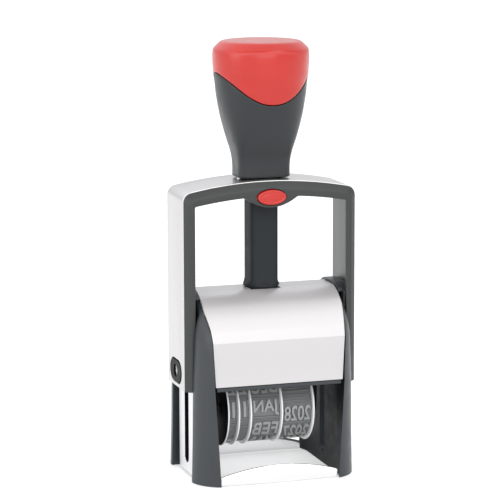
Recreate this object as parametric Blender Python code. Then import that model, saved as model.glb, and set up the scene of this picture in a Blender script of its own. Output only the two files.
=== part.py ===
"""Heavy-duty self-inking date stamp, modelled as the assembly that it is.

Frame: the origin is the centre of the footprint on the table, +X to the right, +Y to the rear,
+Z up.  The stamp faces -Y.  Lengths below are millimetres; add_mesh turns them into metres.

Pressing the handle slides the bow down over the base.  The printing unit hangs on an axle in the
bow, rests face up against the ink pad, and turns over on its way down until it faces the table.
"""
import math

import bmesh
import bpy
from mathutils import Vector

MM = 0.001
GAP = 0.3                     # air left between pieces that touch

# ---- motion --------------------------------------------------------------------------------
TRAVEL = 27.0                 # press stroke of the bow
AXLE_Z = 36.8                 # flip axle at rest
FACE_RADIUS = 9.7             # axle to printing face

# ---- steel bow and its bezel ---------------------------------------------------------------
BOW_HALF_WIDTH = 30.85
BOW_HALF_DEPTH = 9.85
BOW_THICKNESS = 1.2
BOW_FOOT_Z = 31.4
CROWN_Z = 102.8
CROWN_RADIUS = 140.0
BOW_CORNER = 3.4
BEZEL_DEPTH = 2.15            # from the bow's edge to the bezel's face
BEZEL_SIDE_CHAMFER = 2.1
BEZEL_TOP_CHAMFER = 2.8
BEZEL_SIDE_WIDTH = 3.8
BEZEL_TOP_WIDTH = 5.2
BOSS_HALF_WIDTH = 9.5         # swelling under the lock button
BOSS_DROP = 3.9
EAR_HALF_LENGTH = 7.0         # oval window for the axle bearing
EAR_HALF_HEIGHT = 4.15
BEARING_HALF_WIDTH = 8.6      # flange of the axle bearing, behind the window
BEARING_LOW_Z = 31.8
BEARING_HIGH_Z = 42.4
WELL_HALF = 5.6               # square openings that the post passes through

# ---- handle --------------------------------------------------------------------------------
HANDLE_BOTTOM_Z = CROWN_Z + GAP
HANDLE_TOP_Z = 149.8
HANDLE_SHAPE = (              # z, half width, half depth, squareness of the section
    (HANDLE_BOTTOM_Z, 9.3, 6.4, 5.0),
    (107.0, 9.3, 6.45, 5.0),
    (110.0, 9.6, 7.0, 4.6),
    (113.0, 10.3, 8.3, 4.0),
    (116.0, 11.3, 9.8, 3.4),
    (119.5, 12.4, 11.4, 2.9),
    (123.6, 13.6, 13.2, 2.5),
    (128.0, 14.7, 14.5, 2.2),
    (132.0, 15.4, 15.3, 2.1),
    (136.0, 15.9, 15.9, 2.0),
    (139.0, 16.35, 16.35, 2.0),
    (147.1, 16.35, 16.35, 2.0),
    (149.2, 14.2, 14.2, 2.0),
    (149.6, 13.5, 13.5, 2.0),
    (HANDLE_TOP_Z, 12.4, 12.4, 2.0),
)
SEAM_MEAN_Z = 134.0           # the red cap's wavy lower edge
SEAM_WAVE = 5.2
CORE_RADIUS = 13.0            # spigot of the grip inside the cap
CORE_TOP_Z = 144.0
CAVITY_HALF = 5.4             # square well in the handle for the post
HANDLE_SCREW_X = 7.6
HANDLE_SCREW_TOP_Z = 112.0
HANDLE_SCREW_HEAD = (1.9, 1.4)   # radius and height

# ---- lock button ---------------------------------------------------------------------------
BUTTON_Z = 97.3
BUTTON_HALF_WIDTH = 5.1
BUTTON_HALF_HEIGHT = 2.6
BUTTON_FACE_Y = -12.7
BUTTON_BACK_Y = -10.9
STEM_RADIUS = 1.1
STEM_TIP_Y = -7.7
LOCK_SPRING_RADIUS = 1.75
LOCK_SPRING_WIRE = 0.25
BUSH_HALF_WIDTH = 9.0
BUSH_HALF_DEPTH = 8.6
BUSH_LOW_Z = 97.4
BUSH_POCKET_Y = -6.0          # seat of the button's spring
BUSH_POCKET_RADIUS = 2.3
SPRING_HOUSE_HALF_WIDTH = 4.2
SPRING_HOUSE_LOW_Z = 94.6

# ---- post, spring --------------------------------------------------------------------------
POST_HALF = 5.0
POST_BORE = 3.7
POST_TOP_Z = 108.0
POST_SEAT_Z = 72.3
COLLAR_RADIUS = 6.3
COLLAR_Z = 65.1
COLLAR_TOP_Z = 67.6
PLUG_BOTTOM_Z = 140.6
SPRING_RADIUS = 2.6
SPRING_WIRE = 0.45
SPRING_TURNS = 15

# ---- base ----------------------------------------------------------------------------------
BASE_HALF_DEPTH = 22.0
CHEEK_INNER_X = 22.5
CHEEK_OUTER_X = 25.9
FOOT_START_Y = 12.4           # the feet stand in front of and behind the bow's path
FOOT_ARC_RADIUS = 12.0        # plan radius of a front foot's outer corner
REAR_FOOT_ARC_RADIUS = 9.0    # the rear feet are squarer
FOOT_TAPER = (                # height, x of the front corner's centre
    (0.0, 17.1),
    (15.0, 16.7),
    (34.4, 16.4),
    (49.5, 15.8),
    (64.7, 14.8),
)
CHEEK_PROUD = 0.6             # by which the cheeks stand out from the hood
CAP_OUTER_X = 28.7            # top of a cheek, level with the strap's inner face
CAP_HALF_DEPTH = 9.2
CAP_LOW_Z = 62.8
CAP_RISE = 0.9                # over the hood's curve
CHEEK_LIP_LOW_X = 21.2        # inner front edge of a foot at the table
CHEEK_LIP_HIGH_X = 23.2       # and at the hood's lower edge
HOOD_FOOT_Z = 34.4
SLOT_HALF = 2.5
SLOT_LOW_Z = 4.0
SLOT_HIGH_Z = 41.0
PLATE_INNER_X = 26.2
PLATE_OUTER_X = 27.2
PLATE_HALF_DEPTH = 9.0
PLATE_LOW_Z = 0.6
PLATE_HIGH_Z = 62.5
HOOD_THICKNESS = 1.0
HOOD_CROWN_Z = 64.7
HOOD_CREASE_Y = 4.8
HOOD_BEND = (20.5, 49.5)      # depth and height where the hood turns down
HOOD_FACET = (19.2, 53.1)     # top of the flat strip above that bend
HOOD_PULLS = ((10.8, 63.6), (16.4, 57.9))   # steer the curve from crease to facet
HOOD_HALF_WIDTH = 24.7
HOOD_NARROWING = 1.2          # of each side towards the bend
HOOD_FOOT_HALF_WIDTH = 22.7
HOOD_REAR_END_Z = 55.6
BRIDGE_LOW_Z = 54.8
BRIDGE_HIGH_Z = 59.1
BRIDGE_HALF_DEPTH = 10.5
INSIDE_HALF_WIDTH = 22.2      # parts that span the gap between the cheeks
CHEEK_SCREW_Y = 7.0           # two screws hold each cheek to the bridge
CHEEK_SCREW_Z = 57.0
CHEEK_SCREW_OUTER_X = 25.6
CHEEK_SCREW_LENGTH = 8.5
CHEEK_SCREW_HEAD = (2.2, 1.9)    # radius and height
CHEEK_SCREW_RADIUS = 1.2
POST_SCREW_LOW_Z = 55.0
POST_SCREW_LENGTH = 13.5
POST_SCREW_HEAD = (2.7, 2.0)     # radius and height
POST_SCREW_RADIUS = 1.4
HEAD_ROOM = 0.4               # air around and behind a screw's head
WALL_Y = (-20.6, -19.3, -18.1)   # lip, front and back of the wall behind the hood's edge
WALL_Z = (32.8, 34.1, 48.0)      # underside, top of the lip, top
SKIRT_Y = 20.9                # outer face of the steel aprons at their ends
SKIRT_BULGE = 0.7
SKIRT_THICKNESS = 0.9
SKIRT_HIGH_Z = 6.2
SKIRT_LOW_Z = 3.0

# ---- ink pad tray --------------------------------------------------------------------------
PAD_FACE_Z = 46.9
PAD_TOP_Z = 50.0
PAD_HALF_WIDTH = 19.3
PAD_HALF_DEPTH = 13.1
TRAY_BOTTOM_Z = 47.4
TRAY_TOP_Z = 54.0
TRAY_HALF_WIDTH = 20.4
TRAY_FRONT_Y = -14.0
TRAY_BACK_Y = 16.5
FLANGE_HALF_WIDTH = 22.0      # the tray hangs in the cheeks by this flange
FLANGE_LOW_Z = 52.3
RAIL_INNER_X = 20.8           # ledge of a cheek that carries the flange
RAIL_LOW_Z = 50.2
PULL_HALF_WIDTH = 11.0        # finger pull at the rear
PULL_BACK_Y = 20.0
PULL_LOW_Z = 48.0

# ---- printing unit -------------------------------------------------------------------------
WHEEL_Z = 22.5
DISC_RADIUS = 13.2
DRUM_RADIUS = 10.6
DISC_THICKNESS = 0.6
BAND_THICKNESS = 1.6          # raised characters included
NOSE_RADIUS = 2.2
SHAFT_RADIUS = 1.5
AXLE_RADIUS = 2.0
FLIP_PIN_OFFSET = 6.0
FLIP_PIN_RADIUS = 1.2
ARM_INNER_X = 17.2
ARM_OUTER_X = 18.8
FACE_Z = AXLE_Z + FACE_RADIUS
RUBBER_THICKNESS = 1.7
RUBBER_HALF = (20.2, 8.4)     # half width and depth of the text plate
DATE_WINDOW_HALF = (16.9, 5.4)
CARRIAGE_HALF = (20.5, 8.6)
CARRIAGE_LOW_Z = FACE_Z - 4.0
CARRIAGE_HIGH_Z = FACE_Z - 2.0
NOSE_BAR_LOW_Z = 38.6
FLIP_PIN_TIP_X = 24.3
NOSE_Z = FACE_Z - BAND_THICKNESS - GAP - NOSE_RADIUS
WHEELS = (                    # name, left disc's centre, next disc's centre
    ("day_tens", -15.8, -12.0),
    ("day_units", -12.0, -7.7),
    ("month", -7.7, 3.5),
    ("year", 3.5, 15.0),
)

# ---- colours: base colour, roughness, metallic ---------------------------------------------
MATERIALS = {
    "satin_chrome": ((0.78, 0.78, 0.79), 0.28, 1.0),
    "bright_chrome": ((0.86, 0.86, 0.87), 0.12, 1.0),
    "black_plastic": ((0.045, 0.048, 0.052), 0.45, 0.0),
    "grip_plastic": ((0.035, 0.038, 0.042), 0.5, 0.0),
    "red_plastic": ((0.78, 0.05, 0.04), 0.3, 0.0),
    "steel": ((0.6, 0.6, 0.6), 0.3, 1.0),
    "wheel_plastic": ((0.75, 0.77, 0.77), 0.35, 0.0),
    "band_rubber": ((0.16, 0.17, 0.175), 0.7, 0.0),
    "ink_felt": ((0.02, 0.03, 0.16), 0.9, 0.0),
}


# ---- building blocks -----------------------------------------------------------------------
def clear_scene():
    for item in list(bpy.data.objects):
        bpy.data.objects.remove(item, do_unlink=True)


def material(name):
    """The named finish, made the first time it is asked for."""
    if name in bpy.data.materials:
        return bpy.data.materials[name]
    colour, roughness, metallic = MATERIALS[name]
    made = bpy.data.materials.new(name)
    made.use_nodes = True
    shader = made.node_tree.nodes["Principled BSDF"]
    shader.inputs["Base Color"].default_value = (*colour, 1.0)
    shader.inputs["Roughness"].default_value = roughness
    shader.inputs["Metallic"].default_value = metallic
    made.diffuse_color = (*colour, 1.0)
    return made


def add_mesh(name, points, faces, finish, smooth=False):
    """A closed mesh object from points in millimetres, with its faces turned outwards."""
    mesh = bpy.data.meshes.new(name)
    mesh.from_pydata([Vector(p) * MM for p in points], [], faces)
    work = bmesh.new()
    work.from_mesh(mesh)
    bmesh.ops.recalc_face_normals(work, faces=work.faces)
    work.to_mesh(mesh)
    work.free()
    made = bpy.data.objects.new(name, mesh)
    bpy.context.collection.objects.link(made)
    if finish is not None:
        mesh.materials.append(material(finish))
    if smooth:
        mesh.shade_smooth()
        mesh.set_sharp_from_angle(angle=math.radians(35))
    return made


def loft(name, rings, finish, smooth=False):
    """Skin over rings of equal length, closed with a cap at each end."""
    count = len(rings[0])
    points = [point for ring in rings for point in ring]
    faces = []
    for level in range(len(rings) - 1):
        here = level * count
        for i in range(count):
            j = (i + 1) % count
            faces.append((here + i, here + j, here + count + j, here + count + i))
    faces.append(tuple(range(count)))
    last = (len(rings) - 1) * count
    faces.append(tuple(range(last, last + count)))
    return add_mesh(name, points, faces, finish, smooth)


def prism(name, outline, axis, low, high, finish, smooth=False):
    """Outline pushed along an axis: X takes (y, z) points, Y takes (x, z) and Z takes (x, y)."""
    place = {
        "X": lambda p, at: (at, p[0], p[1]),
        "Y": lambda p, at: (p[0], at, p[1]),
        "Z": lambda p, at: (p[0], p[1], at),
    }[axis]
    rings = [[place(p, at) for p in outline] for at in (low, high)]
    return loft(name, rings, finish, smooth)


def box(name, low, high, finish):
    outline = [(low[0], low[1]), (high[0], low[1]), (high[0], high[1]), (low[0], high[1])]
    return prism(name, outline, "Z", low[2], high[2], finish)


def arc(centre, radii, start_deg, end_deg, steps):
    """Points on an elliptical arc, both ends included."""
    points = []
    for i in range(steps + 1):
        angle = math.radians(start_deg + (end_deg - start_deg) * i / steps)
        points.append((centre[0] + radii[0] * math.cos(angle), centre[1] + radii[1] * math.sin(angle)))
    return points


def circle(centre, radius, steps=24):
    return arc(centre, (radius, radius), 0.0, 360.0, steps)[:-1]


def stadium(centre, half_length, half_height, steps=8):
    """Round-ended outline whose long side lies along its first coordinate."""
    straight = half_length - half_height
    right = arc((centre[0] + straight, centre[1]), (half_height, half_height), -90.0, 90.0, steps)
    left = arc((centre[0] - straight, centre[1]), (half_height, half_height), 90.0, 270.0, steps)
    return right + left


def upright_slot(half_width, low, high, steps=6):
    """Round-ended upright outline about its first coordinate's zero."""
    top = arc((0.0, high - half_width), (half_width, half_width), 0.0, 180.0, steps)
    bottom = arc((0.0, low + half_width), (half_width, half_width), 180.0, 360.0, steps)
    return top + bottom


def squircle(half_width, half_depth, power, z, steps=40):
    """Ring between an ellipse (power 2) and a rounded rectangle (power 5)."""
    ring = []
    for i in range(steps):
        angle = 2.0 * math.pi * i / steps
        c, s = math.cos(angle), math.sin(angle)
        x = math.copysign(abs(c) ** (2.0 / power), c) * half_width
        y = math.copysign(abs(s) ** (2.0 / power), s) * half_depth
        ring.append((x, y, z))
    return ring


def lathe_x(name, profile, centre, finish, steps=32):
    """Ring of (x, radius) points turned about a line along X through centre (y, z)."""
    rings = []
    for i in range(steps):
        angle = 2.0 * math.pi * i / steps
        rings.append([(x, centre[0] + r * math.cos(angle), centre[1] + r * math.sin(angle))
                      for x, r in profile])
    count = len(profile)
    points = [point for ring in rings for point in ring]
    faces = []
    for i in range(steps):
        here, there = i * count, ((i + 1) % steps) * count
        for k in range(count):
            m = (k + 1) % count
            faces.append((here + k, here + m, there + m, there + k))
    return add_mesh(name, points, faces, finish, smooth=True)


def combine(target, tool, operation):
    """Boolean with a hidden helper."""
    tool.hide_render = True
    tool.display_type = "WIRE"
    step = target.modifiers.new(operation.lower(), "BOOLEAN")
    step.operation = operation
    step.solver = "EXACT"
    step.object = tool
    return target


def cut(target, *tools):
    for tool in tools:
        combine(target, tool, "DIFFERENCE")
    return target


def set_origin(item, point):
    """Moves an object's origin onto its joint, leaving its shape in place."""
    offset = Vector(point) * MM
    for vertex in item.data.vertices:
        vertex.co -= offset
    item.location = offset


# ---- steel bow -----------------------------------------------------------------------------
def arch(half_width, crown_z, crown_radius, corner, foot_z=BOW_FOOT_Z, crown_steps=36):
    """Inverted U from the right foot over the slightly domed crown to the left foot."""
    centre_z = crown_z - crown_radius
    corner_x = half_width - corner
    reach = crown_radius - corner
    corner_z = centre_z + math.sqrt(reach ** 2 - corner_x ** 2)
    tilt = math.degrees(math.asin(corner_x / reach))
    right = arc((corner_x, corner_z), (corner, corner), 0.0, 90.0 - tilt, 5)
    crown = arc((0.0, centre_z), (crown_radius, crown_radius), 90.0 - tilt, 90.0 + tilt, crown_steps)
    left = arc((-corner_x, corner_z), (corner, corner), 90.0 + tilt, 180.0, 5)
    return [(half_width, foot_z)] + right + crown[1:-1] + left + [(-half_width, foot_z)]


def build_steel_bow():
    outer = arch(BOW_HALF_WIDTH, CROWN_Z, CROWN_RADIUS, BOW_CORNER)
    inner = arch(BOW_HALF_WIDTH - BOW_THICKNESS, CROWN_Z - BOW_THICKNESS,
                 CROWN_RADIUS - BOW_THICKNESS, BOW_CORNER - BOW_THICKNESS)
    sections = [[(o[0], -BOW_HALF_DEPTH, o[1]), (i[0], -BOW_HALF_DEPTH, i[1]),
                 (i[0], BOW_HALF_DEPTH, i[1]), (o[0], BOW_HALF_DEPTH, o[1])]
                for o, i in zip(outer, inner)]
    bow = loft("steel_bow", sections, "satin_chrome")
    ears = prism("ear_cutter", stadium((0.0, AXLE_Z), EAR_HALF_LENGTH, EAR_HALF_HEIGHT),
                 "X", -40.0, 40.0, None)
    well = box("bow_well", (-WELL_HALF, -WELL_HALF, 90.0), (WELL_HALF, WELL_HALF, 110.0), None)
    cut(bow, ears, well)
    for side in (-1, 1):
        cut(bow, prism("bow_screw_cutter", circle((side * HANDLE_SCREW_X, 0.0), 1.5, 16),
                       "Z", 90.0, 110.0, None))


def boss_drop(x):
    """How far the bezel's lower edge swells down under the lock button."""
    if abs(x) >= BOSS_HALF_WIDTH:
        return 0.0
    return BOSS_DROP * (0.5 + 0.5 * math.cos(math.pi * x / BOSS_HALF_WIDTH)) ** 0.7


def build_bezel():
    """Black frame clipped on the bow's front edge, with the hole for the lock button."""
    back = -(BOW_HALF_DEPTH + GAP)
    front = -(BOW_HALF_DEPTH + BEZEL_DEPTH)
    radius = CROWN_RADIUS + 5.0
    foot = BOW_FOOT_Z - 0.1
    outer = arch(BOW_HALF_WIDTH, CROWN_Z, CROWN_RADIUS, BOW_CORNER, foot)
    face = arch(BOW_HALF_WIDTH - BEZEL_SIDE_CHAMFER, CROWN_Z - BEZEL_TOP_CHAMFER, radius, 2.4, foot)
    inner = arch(BOW_HALF_WIDTH - BEZEL_SIDE_WIDTH, CROWN_Z - BEZEL_TOP_WIDTH, radius, 1.6, foot)
    sections = []
    for o, f, i in zip(outer, face, inner):
        edge_z = i[1] - boss_drop(i[0])
        sections.append([(o[0], back, o[1]), (f[0], front, f[1]), (i[0], front, edge_z),
                         (i[0], back, edge_z)])
    bezel = loft("front_bezel", sections, "black_plastic")
    clearance = GAP + 0.05
    radii = (BUTTON_HALF_WIDTH + clearance, BUTTON_HALF_HEIGHT + clearance)
    outline = arc((0.0, BUTTON_Z), radii, 0.0, 360.0, 28)[:-1]
    cut(bezel, prism("button_hole", outline, "Y", -20.0, -5.0, None))


# ---- handle --------------------------------------------------------------------------------
def handle_solid(name):
    rings = [squircle(half_width, half_depth, power, z, 48)
             for z, half_width, half_depth, power in HANDLE_SHAPE]
    return loft(name, rings, "grip_plastic", smooth=True)


def cap_region(name, clearance, steps=48):
    """Everything that belongs to the cap: outside the spigot and above the wavy seam."""
    outer_radius, core_radius = 25.0, CORE_RADIUS + clearance
    ceiling = CORE_TOP_Z + clearance
    rings = [[], [], [], []]
    for i in range(steps):
        angle = 2.0 * math.pi * i / steps
        c, s = math.cos(angle), math.sin(angle)
        seam = SEAM_MEAN_Z + SEAM_WAVE * math.cos(2.0 * angle) + clearance
        rings[0].append((outer_radius * c, outer_radius * s, 170.0))
        rings[1].append((outer_radius * c, outer_radius * s, seam))
        rings[2].append((core_radius * c, core_radius * s, seam))
        rings[3].append((core_radius * c, core_radius * s, ceiling))
    return loft(name, rings, None)


def build_handle():
    grip = handle_solid("handle_grip")
    well = box("grip_well", (-CAVITY_HALF, -CAVITY_HALF, 90.0),
               (CAVITY_HALF, CAVITY_HALF, 150.0), None)
    cut(grip, cap_region("grip_cutter", 0.0), well)
    for side in (-1, 1):
        cut(grip, prism("grip_screw_cutter", circle((side * HANDLE_SCREW_X, 0.0), 1.4, 16),
                        "Z", 90.0, HANDLE_SCREW_TOP_Z + GAP, None))
    cap = handle_solid("handle_cap")
    cap.data.materials[0] = material("red_plastic")
    combine(cap, cap_region("cap_keeper", GAP), "INTERSECT")


def helix(radius, low, high, turns, per_turn):
    """Points of a coil along +Z whose end turns close up."""
    points = []
    steps = turns * per_turn
    for i in range(steps + 1):
        angle = 2.0 * math.pi * i / per_turn
        points.append(Vector((radius * math.cos(angle), radius * math.sin(angle),
                              low + (high - low) * i / steps)))
    return points


def tube(name, path, radius, finish, sides, axis):
    """Round wire along the points of a coil that turns about an axis."""
    rings = []
    for i, point in enumerate(path):
        ahead = path[min(i + 1, len(path) - 1)] - path[max(i - 1, 0)]
        across = ahead.cross(axis).normalized()
        up = across.cross(ahead).normalized()
        ring = []
        for k in range(sides):
            angle = 2.0 * math.pi * k / sides
            ring.append(point + (across * math.cos(angle) + up * math.sin(angle)) * radius)
        rings.append(ring)
    return loft(name, rings, finish, smooth=True)


def build_press_spring():
    low = POST_SEAT_Z + GAP + SPRING_WIRE
    high = PLUG_BOTTOM_Z - GAP - SPRING_WIRE
    path = helix(SPRING_RADIUS, low, high, SPRING_TURNS, 10)
    tube("press_spring", path, SPRING_WIRE, "steel", 5, Vector((0.0, 0.0, 1.0)))


def build_spring_plug():
    half = CAVITY_HALF - GAP
    box("spring_plug", (-half, -half, PLUG_BOTTOM_Z), (half, half, CORE_TOP_Z - GAP), "black_plastic")


# ---- lock button and post bush -------------------------------------------------------------
def build_post_bush():
    """Plastic block under the crown that guides the post and houses the button's spring."""
    top = CROWN_Z - BOW_THICKNESS - 2.0 * GAP
    bush = box("post_bush", (-BUSH_HALF_WIDTH, -BUSH_HALF_DEPTH, BUSH_LOW_Z),
               (BUSH_HALF_WIDTH, BUSH_HALF_DEPTH, top), "black_plastic")
    house = box("spring_house", (-SPRING_HOUSE_HALF_WIDTH, -BUSH_HALF_DEPTH, SPRING_HOUSE_LOW_Z),
                (SPRING_HOUSE_HALF_WIDTH, -POST_HALF, BUSH_LOW_Z + 0.6), None)
    combine(bush, house, "UNION")
    half = POST_HALF + GAP
    cut(bush,
        box("bush_well", (-half, -half, 80.0), (half, half, 120.0), None),
        prism("bush_pocket", circle((0.0, BUTTON_Z), BUSH_POCKET_RADIUS, 20),
              "Y", -20.0, BUSH_POCKET_Y, None),
        prism("bush_passage", circle((0.0, BUTTON_Z), STEM_RADIUS + GAP, 16), "Y", -20.0, 0.0, None))
    for side in (-1, 1):
        room = circle((side * HANDLE_SCREW_X, 0.0), HANDLE_SCREW_HEAD[0] + HEAD_ROOM, 20)
        cut(bush, prism("bush_head_pocket", room, "Z", 99.0, 110.0, None))


def build_lock_button():
    rings = []
    full = (BUTTON_HALF_WIDTH, BUTTON_HALF_HEIGHT)
    crown = (BUTTON_HALF_WIDTH - 0.7, BUTTON_HALF_HEIGHT - 0.7)
    stem = (STEM_RADIUS, STEM_RADIUS)
    for y, radii in ((BUTTON_FACE_Y - 0.25, crown), (BUTTON_FACE_Y, full), (BUTTON_BACK_Y, full),
                     (BUTTON_BACK_Y, stem), (STEM_TIP_Y, stem)):
        outline = arc((0.0, BUTTON_Z), radii, 0.0, 360.0, 28)[:-1]
        rings.append([(x, y, z) for x, z in outline])
    button = loft("lock_button", rings, "red_plastic", smooth=True)
    set_origin(button, (0.0, BUTTON_BACK_Y, BUTTON_Z))


def build_lock_spring():
    inset = GAP + LOCK_SPRING_WIRE
    upright = helix(LOCK_SPRING_RADIUS, BUTTON_BACK_Y + inset, BUSH_POCKET_Y - inset, 5, 10)
    path = [Vector((p.x, p.z, BUTTON_Z + p.y)) for p in upright]
    tube("lock_spring", path, LOCK_SPRING_WIRE, "steel", 4, Vector((0.0, 1.0, 0.0)))


# ---- base ----------------------------------------------------------------------------------
def hood_curve(steps=10):
    """Side view of the hood from its crease down to its flat facet: (depth, height) points."""
    start, end = Vector((HOOD_CREASE_Y, HOOD_CROWN_Z)), Vector(HOOD_FACET)
    pull_start, pull_end = Vector(HOOD_PULLS[0]), Vector(HOOD_PULLS[1])
    points = []
    for i in range(steps + 1):
        t = i / steps
        u = 1.0 - t
        points.append(start * u ** 3 + pull_start * 3 * u * u * t
                      + pull_end * 3 * u * t * t + end * t ** 3)
    return [(p.x, p.y) for p in points]


def hood_half_width(depth):
    return HOOD_HALF_WIDTH - HOOD_NARROWING * max(0.0, (depth - 14.0) / (HOOD_BEND[0] - 14.0))


def hood_profile():
    """(y, z, half width) from the front edge over the crown to the rear edge."""
    curve = hood_curve()
    front = [(-HOOD_BEND[0] - 0.3, HOOD_FOOT_Z, HOOD_FOOT_HALF_WIDTH)]
    for depth, height in [HOOD_BEND] + curve[::-1]:
        front.append((-depth, height, hood_half_width(depth)))
    rear = [(depth, height, HOOD_HALF_WIDTH) for depth, height in curve if height > HOOD_REAR_END_Z]
    return front + rear


def hood_strip(name, above, below, wider, finish):
    """Sheet that follows the hood, from `below` under its outer face to `above` over it."""
    profile = hood_profile()
    sections = []
    for i, (y, z, half) in enumerate(profile):
        before, after = profile[max(i - 1, 0)], profile[min(i + 1, len(profile) - 1)]
        along = Vector((after[0] - before[0], after[1] - before[1])).normalized()
        out = Vector((-along.y, along.x))
        high = Vector((y, z)) + out * above
        low = Vector((y, z)) - out * below
        half += wider
        sections.append([(-half, high.x, high.y), (half, high.x, high.y),
                         (half, low.x, low.y), (-half, low.x, low.y)])
    return loft(name, sections, finish, smooth=finish is not None)


def build_pad_hood():
    hood = hood_strip("pad_hood", 0.0, HOOD_THICKNESS, 0.0, "satin_chrome")
    half = POST_HALF + GAP + 0.1
    cut(hood, box("hood_well", (-half, -half, 60.0), (half, half, 70.0), None))


def between(rows, at):
    """Value at a height in a table of (height, value) rows."""
    for (low, first), (high, second) in zip(rows, rows[1:]):
        if at <= high:
            return first + (second - first) * (at - low) / (high - low)
    return rows[-1][1]


def cheek_front(z):
    """How far in front of the axle plane a cheek stands at a height."""
    rows = [(0.0, BASE_HALF_DEPTH), (HOOD_FOOT_Z, HOOD_BEND[0] + 0.3 + CHEEK_PROUD)]
    rows += [(height, depth + CHEEK_PROUD) for depth, height in [HOOD_BEND] + hood_curve()[::-1]]
    return between(rows, z)


def foot_corner(z, radius, arc_steps):
    """Outline of a foot in plan, from its lip around the wide outer corner: (x, depth)."""
    rise = min(z / HOOD_FOOT_Z, 1.0)
    lip = CHEEK_LIP_LOW_X + (CHEEK_LIP_HIGH_X - CHEEK_LIP_LOW_X) * rise
    depth, centre_x = cheek_front(z), between(FOOT_TAPER, z) + FOOT_ARC_RADIUS - radius
    centre_y = depth - math.sqrt(radius ** 2 - (lip - centre_x) ** 2)
    start = math.degrees(math.acos((lip - centre_x) / radius))
    end = math.degrees(math.asin(max(0.07, (0.5 - centre_y) / radius)))
    return arc((centre_x, centre_y), (radius, radius), start, end, arc_steps)


def cheek_plan(z, side, arc_steps=10):
    """Plan outline of a cheek: inner wall, and a foot with a rounded corner at each end."""
    inner_y = cheek_front(z) - 5.0
    front = [(x, -y) for x, y in foot_corner(z, FOOT_ARC_RADIUS, arc_steps)]
    rear = foot_corner(z, REAR_FOOT_ARC_RADIUS, arc_steps)[::-1]
    outline = [(CHEEK_INNER_X, -inner_y)] + front + rear + [(CHEEK_INNER_X, inner_y)]
    return [(side * x, y, z) for x, y in outline]


def flip_pocket():
    """Outer side of the flip pin's path while the unit goes down and turns over, closed at y = 0."""
    clearance, steps = FLIP_PIN_RADIUS + 0.5, 18
    points = [(0.0, AXLE_Z - FLIP_PIN_OFFSET + clearance)]
    for i in range(steps + 1):
        angle = math.pi * i / steps
        centre = Vector((FLIP_PIN_OFFSET * math.sin(angle),
                         AXLE_Z - TRAVEL * i / steps - FLIP_PIN_OFFSET * math.cos(angle)))
        along = Vector((FLIP_PIN_OFFSET * math.cos(angle),
                        FLIP_PIN_OFFSET * math.sin(angle) - TRAVEL / math.pi)).normalized()
        points.append(tuple(centre + Vector((-along.y, along.x)) * clearance))
    points.append((0.0, AXLE_Z - TRAVEL + FLIP_PIN_OFFSET - clearance))
    return points


def cap_outline():
    """Side view of a cheek's top, which follows the hood's curve: (y, z)."""
    rows = [(depth, height) for depth, height in hood_curve()[::-1]]
    end_z = between(rows[::-1], CAP_HALF_DEPTH) + CAP_RISE
    front = [(-CAP_HALF_DEPTH, CAP_LOW_Z), (-CAP_HALF_DEPTH, end_z)]
    front += [(-depth, height + CAP_RISE) for depth, height in rows if depth < CAP_HALF_DEPTH - 0.2]
    return front + [(-y, z) for y, z in reversed(front)]


def side_box(name, side, across, low, high):
    """Box on one side: across holds two distances from the middle, low and high are (y, z)."""
    left, right = sorted(side * x for x in across)
    return box(name, (left, low[0], low[1]), (right, high[0], high[1]), None)


def side_prism(name, side, across, outline):
    """(y, z) outline pushed across one side, between two distances from the middle."""
    left, right = sorted(side * x for x in across)
    return prism(name, outline, "X", left, right, None)


def build_cheek(name, side):
    heights = [0.0, 15.0, HOOD_FOOT_Z, HOOD_BEND[1]]
    heights += [height for depth, height in hood_curve()[::-1] if depth > HOOD_CREASE_Y + 0.1]
    cheek = loft(name, [cheek_plan(z, side) for z in heights], "black_plastic")
    cut(cheek, side_box("bow_groove", side, (CHEEK_OUTER_X, 40.0),
                        (-FOOT_START_Y, -1.0), (FOOT_START_Y, 80.0)))
    cap = side_prism("cheek_cap", side, (CHEEK_INNER_X, CAP_OUTER_X), cap_outline())
    rail = side_box("cheek_rail", side, (RAIL_INNER_X, CHEEK_INNER_X + 0.4),
                    (TRAY_FRONT_Y - 2.0, RAIL_LOW_Z), (TRAY_BACK_Y + 1.5, FLANGE_LOW_Z - GAP))
    combine(cheek, cap, "UNION")
    combine(cheek, rail, "UNION")
    slot = upright_slot(SLOT_HALF, SLOT_LOW_Z, SLOT_HIGH_Z)
    cut(cheek,
        hood_strip(name + "_rebate", 4.0, HOOD_THICKNESS + GAP, GAP, None),
        side_prism(name + "_slot", side, (0.0, 40.0), slot),
        side_prism(name + "_pocket", side, (CHEEK_INNER_X - 1.0, FLIP_PIN_TIP_X + 0.4), flip_pocket()))
    sink_x = CHEEK_SCREW_OUTER_X - CHEEK_SCREW_HEAD[1] - HEAD_ROOM
    for y in (-CHEEK_SCREW_Y, CHEEK_SCREW_Y):
        at = (y, CHEEK_SCREW_Z)
        hole = circle(at, CHEEK_SCREW_RADIUS + GAP, 16)
        sink = circle(at, CHEEK_SCREW_HEAD[0] + HEAD_ROOM, 20)
        cut(cheek,
            side_prism("cheek_hole", side, (0.0, 40.0), hole),
            side_prism("cheek_sink", side, (sink_x, 30.0), sink))


def build_side_plate(name, side):
    low, high = sorted((side * PLATE_INNER_X, side * PLATE_OUTER_X))
    half = PLATE_HALF_DEPTH
    outline = [(-half, PLATE_LOW_Z), (half, PLATE_LOW_Z), (half, PLATE_HIGH_Z), (-half, PLATE_HIGH_Z)]
    plate = prism(name, outline, "X", low, high, "satin_chrome")
    slot = upright_slot(SLOT_HALF, SLOT_LOW_Z, SLOT_HIGH_Z)
    cut(plate, side_prism(name + "_slot", side, (0.0, 40.0), slot))


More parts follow.
